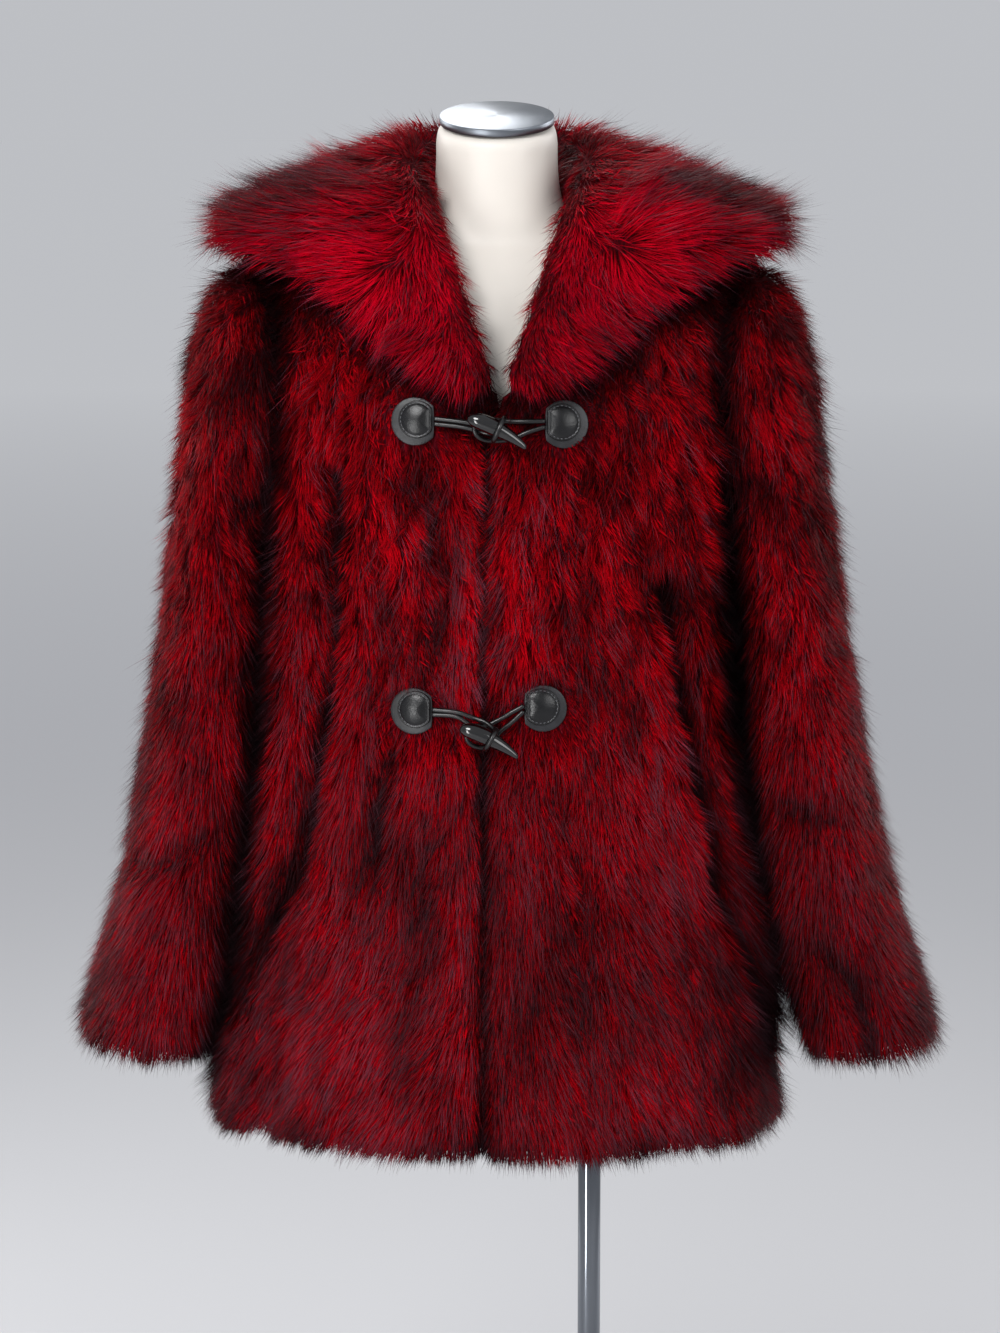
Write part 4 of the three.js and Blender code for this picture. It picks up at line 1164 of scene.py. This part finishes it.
def stitch_thread():
    """Twisted thread, waxed: a dull charcoal, paler than the leather, so that it reads as a dotted line."""
    material, tree, shader = new_material("waxed_thread", Roughness=0.5)
    twist = node(tree, "ShaderNodeTexWave", {"bands_direction": "DIAGONAL"}, Scale=band_every(0.349))
    tree.links.new(object_place(tree), twist.inputs["Vector"])
    paint(tree, shader, "Base Color", ramp(tree, twist.outputs["Fac"], (0.2, "3a3a3e"), (0.8, "5c5c60")))
    return material


def polished_horn():
    """Black horn: clear grain along its length, and a polish that takes a hard highlight."""
    material, tree, shader = new_material("polished_horn", Roughness=0.14)
    shader.inputs["Coat Weight"].default_value = 0.5
    shader.inputs["Coat Roughness"].default_value = 0.08
    grain = object_place(tree, (0.25, 1, 1))
    layers = node(tree, "ShaderNodeTexNoise", _0=grain, Scale=every(2), Detail=3.0)
    paint(tree, shader, "Base Color", ramp(tree, layers.outputs["Fac"], (0.35, "030304"), (0.75, "0d0b09")))
    bump(tree, shader, layers.outputs["Fac"], 0.08, 0.0004)
    return material


def round_cord():
    """Thin round leather cord, waxed black: a narrow line of light runs along it."""
    material, tree, shader = new_material("waxed_round_cord", Roughness=0.3)
    wear = node(tree, "ShaderNodeTexNoise", _0=object_place(tree), Scale=every(1.43), Detail=2.0)
    paint(tree, shader, "Base Color", ramp(tree, wear.outputs["Fac"], (0.3, "040404"), (0.7, "0c0b0c")))
    bump(tree, shader, wear.outputs["Fac"], 0.2, 0.0003)
    return material


TOP_LEATHER = leather("patch_leather", "050506", "0e0e10", 0.27)
# The base is the same grained calf, rougher and painted lighter: its lighter colour is painted light, where
# the lamps graze its rim.
BASE_LEATHER = leather("patch_base_leather", "141416", "252528", 0.38)
THREAD = stitch_thread()
HORN = polished_horn()
CORD = round_cord()
print("fastening finishes ready")

# %% [markdown]
# The D's section runs from its rim to its middle: a rounded edge, a low bead, the channel that the stitches
# pull down, and then the stuffed dome. The table holds that section in millimetres, as the way in from the
# rim and the height over the base.

# %% Patches
PATCHES = {  # which way the cords leave, along x
    "upper_right": 1,
    "upper_left": -1,
    "lower_right": 1,
    "lower_left": -1,
}
TOP = {"radius": 0.0148, "cut": 0.0120, "over": 0.0028, "up": 0.0015}  # the D, and its place on the base
SECTION = {
    "in": (0.0, 0.1, 0.4, 0.9, 1.4, 1.9, 2.5, 3.2),
    "up": (-1.2, 0.9, 1.4, 1.55, 1.45, 1.05, 1.5, 2.0),
}
CHANNEL = 5  # the section's row that the stitches lie in
DOME = 0.0042
STITCH = {"long": 0.0021, "pitch": 0.0031, "thick": 0.0003}
AROUND = 72


def seat_of(base):
    """The middle of a base's outer face, its outward direction, and its right and up directions."""
    faces = [face for face in base.data.polygons if face.normal.y < -0.8]
    out = sum((face.normal * face.area for face in faces), Vector()).normalized()
    middle = sum((face.center * face.area for face in faces), Vector()) / sum(face.area for face in faces)
    right = (Vector((1, 0, 0)) - out * out.x).normalized()
    return middle, out, right, out.cross(right)


def d_outline(inset):
    """A D's outline, drawn in from its rim. Its straight side is towards +x, and its corners are eased."""
    radius, cut = TOP["radius"] - inset, TOP["cut"] - inset
    angles = [math.tau * i / AROUND for i in range(AROUND)]
    outline = np.array([(min(radius * math.cos(a), cut), radius * math.sin(a)) for a in angles])
    for _ in range(2):
        outline = (np.roll(outline, 1, axis=0) + 2 * outline + np.roll(outline, -1, axis=0)) / 4
    return outline


def d_top(name, seat, cords_to):
    """The stuffed D, as rings from its rim to its middle."""
    middle, out, right, up = seat
    insets = [step / 1000 for step in SECTION["in"]]
    rings = [(d_outline(inset), height / 1000) for inset, height in zip(insets, SECTION["up"])]
    last, shoulder = rings[-1]
    for share in (0.85, 0.7, 0.55, 0.4, 0.25, 0.1):
        rings.append((last * share, shoulder + (DOME - shoulder) * (1 - share**2)))
    corners = []
    for outline, height in rings:
        for a, b in outline:
            across = right * cords_to * (TOP["over"] + a) + up * (TOP["up"] + b)
            corners.append(middle + across + out * height)
    corners.append(middle + right * cords_to * TOP["over"] + up * TOP["up"] + out * DOME)
    faces = []
    for r in range(len(rings) - 1):
        for i in range(AROUND):
            j = (i + 1) % AROUND
            faces.append((r * AROUND + i, r * AROUND + j, (r + 1) * AROUND + j, (r + 1) * AROUND + i))
    start = (len(rings) - 1) * AROUND
    faces += [(start + i, start + (i + 1) % AROUND, len(corners) - 1) for i in range(AROUND)]
    faces.append(tuple(range(AROUND - 1, -1, -1)))
    if cords_to < 0:
        faces = [face[::-1] for face in faces]
    return new_piece(name, corners, faces)


def new_piece(name, corners, faces):
    """A new smooth object in the scene, from its corners and faces."""
    mesh = bpy.data.meshes.new(name)
    mesh.from_pydata([tuple(corner) for corner in corners], [], faces)
    piece = bpy.data.objects.new(name, mesh)
    bpy.context.scene.collection.objects.link(piece)
    return smooth(piece)


def bead(spot, along, up):
    """One stitch: a short low bead of thread with tapered ends."""
    side = up.cross(along)
    corners = []
    for reach, wide, rise in ((-0.5, 0.4, -0.6), (-0.3, 1.0, 0.3), (0.3, 1.0, 0.3), (0.5, 0.4, -0.6)):
        for turn in range(6):
            angle = math.tau * turn / 6
            offset = side * math.cos(angle) * wide + up * (math.sin(angle) * wide + rise)
            corners.append(spot + along * reach * STITCH["long"] + offset * STITCH["thick"])
    faces = [tuple(range(6)), tuple(range(23, 17, -1))]
    for ring in range(0, 18, 6):
        for here in range(6):
            there = (here + 1) % 6
            faces.append((ring + here, ring + 6 + here, ring + 6 + there, ring + there))
    return corners, faces


def stitches(name, seat, cords_to):
    """Stitches in the channel of a D, along its curve only."""
    middle, out, right, up = seat
    channel = SECTION["in"][CHANNEL] / 1000
    radius = TOP["radius"] - channel
    open_side = math.acos((TOP["cut"] - channel) / radius)
    count = int((math.tau - 2 * open_side) * radius / STITCH["pitch"])
    corners, faces = [], []
    for i in range(count):
        angle = open_side + (math.tau - 2 * open_side) * (i + 0.5) / count
        away = right * cords_to * math.cos(angle) + up * math.sin(angle)
        centre = middle + right * cords_to * TOP["over"] + up * TOP["up"]
        spot = centre + away * radius + out * (SECTION["up"][CHANNEL] / 1000)
        bead_corners, bead_faces = bead(spot, out.cross(away), out)
        faces += [tuple(len(corners) + c for c in face) for face in bead_faces]
        corners += bead_corners
    return new_piece(name, corners, faces)


for name, cords_to in PATCHES.items():
    base = refined("leather_base_" + name, ["patch_" + name], 0.0007, 2)
    finished(base, "leather", ["patch_" + name], BASE_LEATHER)
    seat = seat_of(base)
    finished(d_top("leather_top_" + name, seat, cords_to), "leather", ["patch_top_" + name], TOP_LEATHER)
    sewn = finished(stitches("stitches_" + name, seat, cords_to), "leather", [], THREAD)
    print(name, "looks along", [round(c, 2) for c in seat[1]], "- stitch faces:", len(sewn.data.polygons))

# %% [markdown]
# Each cord is folded in two. One goes once round the horn, and the other is the loop that holds the horn.
# The solids already follow the right routes, so these pieces are only rounded. Subdividing draws so thin a
# piece in by about half a millimetre, and it is pushed out again by as much.

# %% Toggles and cords
for name in ("upper", "lower"):
    horn = refined("horn_" + name, ["toggle_" + name], 0, 2, sharp=75, fuller=0.0004)
    finished(horn, "horn", ["toggle_" + name], HORN)
    for cord in ("toggle_cord_", "loop_cord_"):
        made = refined("round_" + cord + name, [cord + name], 0, 2, sharp=75, fuller=0.0006)
        finished(made, "cord", [cord + name], CORD)
print("toggles and cords finished")

# %% [markdown]
# ## The dress form
#
# The form is a smooth shell, sprayed warm white and rubbed to a satin. Its neck is one open curve from the
# shoulders to the cap.


# %% Form
def satin_shell():
    """Moulded shell, sprayed and rubbed to a satin: soft wide highlights, and a faint grain close up."""
    material, tree, shader = new_material("satin_shell", Roughness=0.5)
    cloudy = node(tree, "ShaderNodeTexNoise", _0=object_place(tree), Scale=every(111), Detail=3.0)
    paint(tree, shader, "Base Color", ramp(tree, cloudy.outputs["Fac"], (0.3, "cbc5bd"), (0.7, "d4cec6")))
    spray = node(tree, "ShaderNodeTexNoise", _0=object_place(tree), Scale=every(1.11), Detail=2.0)
    bump(tree, shader, spray.outputs["Fac"], 0.05, 0.0004)
    return material


form = refined("dress_form", ["form_torso"], 0, 2, sharp=80)
nape = form.vertex_groups.new(name="nape")
BARE_NECK = {"from": 1.22, "to": 1.395}
bare = [point.index for point in form.data.vertices if BARE_NECK["from"] < point.co.z < BARE_NECK["to"]]
nape.add(bare, 1.0, "REPLACE")
sanded = form.modifiers.new("sanded", "SMOOTH")
sanded.vertex_group = nape.name
sanded.factor = 0.5
sanded.iterations = 70
finished(settled(form), "form_shell", ["form_torso"], satin_shell())
print("form faces:", len(form.data.polygons))

# %% [markdown]
# ## Turned metal
#
# The cap, the pole with its flange and boss, and the base are turned parts. Each is a profile of radii and
# heights, swept round its own axis. A profile that starts on the axis makes a solid part, and one that
# stays off it makes a ring. Every corner gets a small round, because a real lathe tool leaves one, and it
# catches the light. A turned part's UV map holds the turn and the radius, for the tool's rings on the cap.


# %% Lathe
def rounded(profile, edge):
    """Swaps each corner that is off the axis for three points on a small round."""
    out = []
    for i, corner in enumerate(profile):
        if corner[0] == 0:
            out.append(corner)
            continue
        here = np.array(corner)
        before = np.array(profile[i - 1])
        after = np.array(profile[(i + 1) % len(profile)])
        start = here + (before - here) / np.linalg.norm(before - here) * edge
        end = here + (after - here) / np.linalg.norm(after - here) * edge
        out += [tuple(start), tuple((start + end) / 4 + here / 2), tuple(end)]
    return out


def turned(name, source, profile, at, material, slot, edge=0.0012, tilt=0.0, steps=96):
    """Sweeps a profile of (radius, height) round an upright axis, then tilts it and puts it in place."""
    profile = rounded(profile, edge)
    corners, rows = [], []
    for radius, height in profile:
        count = steps if radius > 0 else 1
        rows.append([len(corners) + i % count for i in range(steps)])
        angles = [math.tau * i / steps for i in range(count)]
        corners += [(radius * math.cos(a), radius * math.sin(a), height) for a in angles]
    pairs = list(zip(rows, rows[1:]))
    if profile[0][0] > 0:
        pairs.append((rows[-1], rows[0]))
    faces = []
    for low, high in pairs:
        for i in range(steps):
            j = (i + 1) % steps
            faces.append(tuple(dict.fromkeys((low[i], low[j], high[j], high[i]))))
    piece = new_piece(name, corners, faces)
    mesh = piece.data
    layer = mesh.uv_layers.new(name="Turned")
    for face in mesh.polygons:
        middle = math.atan2(face.center.y, face.center.x)
        for loop in face.loop_indices:
            spot = mesh.vertices[mesh.loops[loop].vertex_index].co
            turn = math.atan2(spot.y, spot.x) if math.hypot(spot.x, spot.y) > 1e-6 else middle
            turn += math.tau * round((middle - turn) / math.tau)
            layer.data[loop].uv = (turn / math.tau, math.hypot(spot.x, spot.y))
    mesh.set_sharp_from_angle(angle=math.radians(50))
    mesh.transform(Matrix.Translation(at) @ Matrix.Rotation(tilt, 4, "X"))
    return finished(piece, slot, [source], material)


# %% [markdown]
# The cap is plain steel with the marks of the lathe on it, and the stand is chrome plate. A metal's colour is
# the colour of its reflections. Both are painted a darker grey than bare metal, painted shade that darkens
# their reflections as a dark surround would, and take the rest from the studio round them.


# %% Metal materials
def turned_steel():
    """Steel faced on a lathe: a fine groove every 0.4 mm, which stretches each highlight into a fan."""
    material, tree, shader = new_material("turned_steel", Metallic=1.0, Roughness=0.32)
    shader.inputs["Anisotropic"].default_value = 0.75
    where = node(tree, "ShaderNodeUVMap", {"uv_map": "Turned"}).outputs["UV"]
    radius = node(tree, "ShaderNodeSeparateXYZ", _0=where).outputs["Y"]
    rings = node(tree, "ShaderNodeTexNoise", {"noise_dimensions": "1D"}, W=radius, Scale=every(0.385))
    rings.inputs["Detail"].default_value = 3.0
    paint(tree, shader, "Base Color", ramp(tree, rings.outputs["Fac"], (0.3, "6a6f75"), (0.7, "848990")))
    bump(tree, shader, rings.outputs["Fac"], 0.15, 0.0003)
    tangent = node(tree, "ShaderNodeTangent", {"direction_type": "RADIAL", "axis": "Z"})
    paint(tree, shader, "Tangent", tangent.outputs[0])
    return material


def polished_chrome():
    """Chrome plate on polished steel: it mirrors the studio, through the faint haze of handling."""
    material, tree, shader = new_material("polished_chrome", Metallic=1.0, Roughness=0.1)
    haze = node(tree, "ShaderNodeTexNoise", _0=object_place(tree, (1, 1, 0.2)), Scale=every(25), Detail=4.0)
    paint(tree, shader, "Base Color", ramp(tree, haze.outputs["Fac"], (0.3, "6c7076"), (0.7, "7a7e84")))
    return material


STEEL = turned_steel()
CHROME = polished_chrome()
print("metals:", STEEL.name, CHROME.name)

# %% Turned parts
CAP = {"at": (-0.0025, -0.00707, 1.41529), "radius": 0.046, "thick": 0.0065, "tilt": math.radians(13.5)}
POLE_AT = (0.075, 0.010)


def disc(radius, thick):
    """A round plate's profile, from its axis out to its rim and back."""
    return [(0, 0), (radius, 0), (radius, thick), (0, thick)]


cap = disc(CAP["radius"], CAP["thick"])
turned("neck_cap", "form_neck_cap", cap, CAP["at"], STEEL, "brushed_cap", tilt=CAP["tilt"], steps=128)
stand = {"material": CHROME, "slot": "chrome_stand"}
turned("pole_flange", "form_flange", disc(0.030, 0.005), (*POLE_AT, 0.6847), **stand)
turned("pole", "stand_pole", disc(0.0095, 0.6761), (*POLE_AT, 0.0083), edge=0.0006, steps=64, **stand)
boss = [(0.0098, 0), (0.018, 0), (0.018, 0.022), (0.0098, 0.022)]
turned("pole_boss", "stand_boss", boss, (*POLE_AT, 0.0083), **stand)
turned("base_plate", "stand_base", disc(0.170, 0.008), (0, 0, 0), edge=0.0015, steps=192, **stand)
print("metal turned")
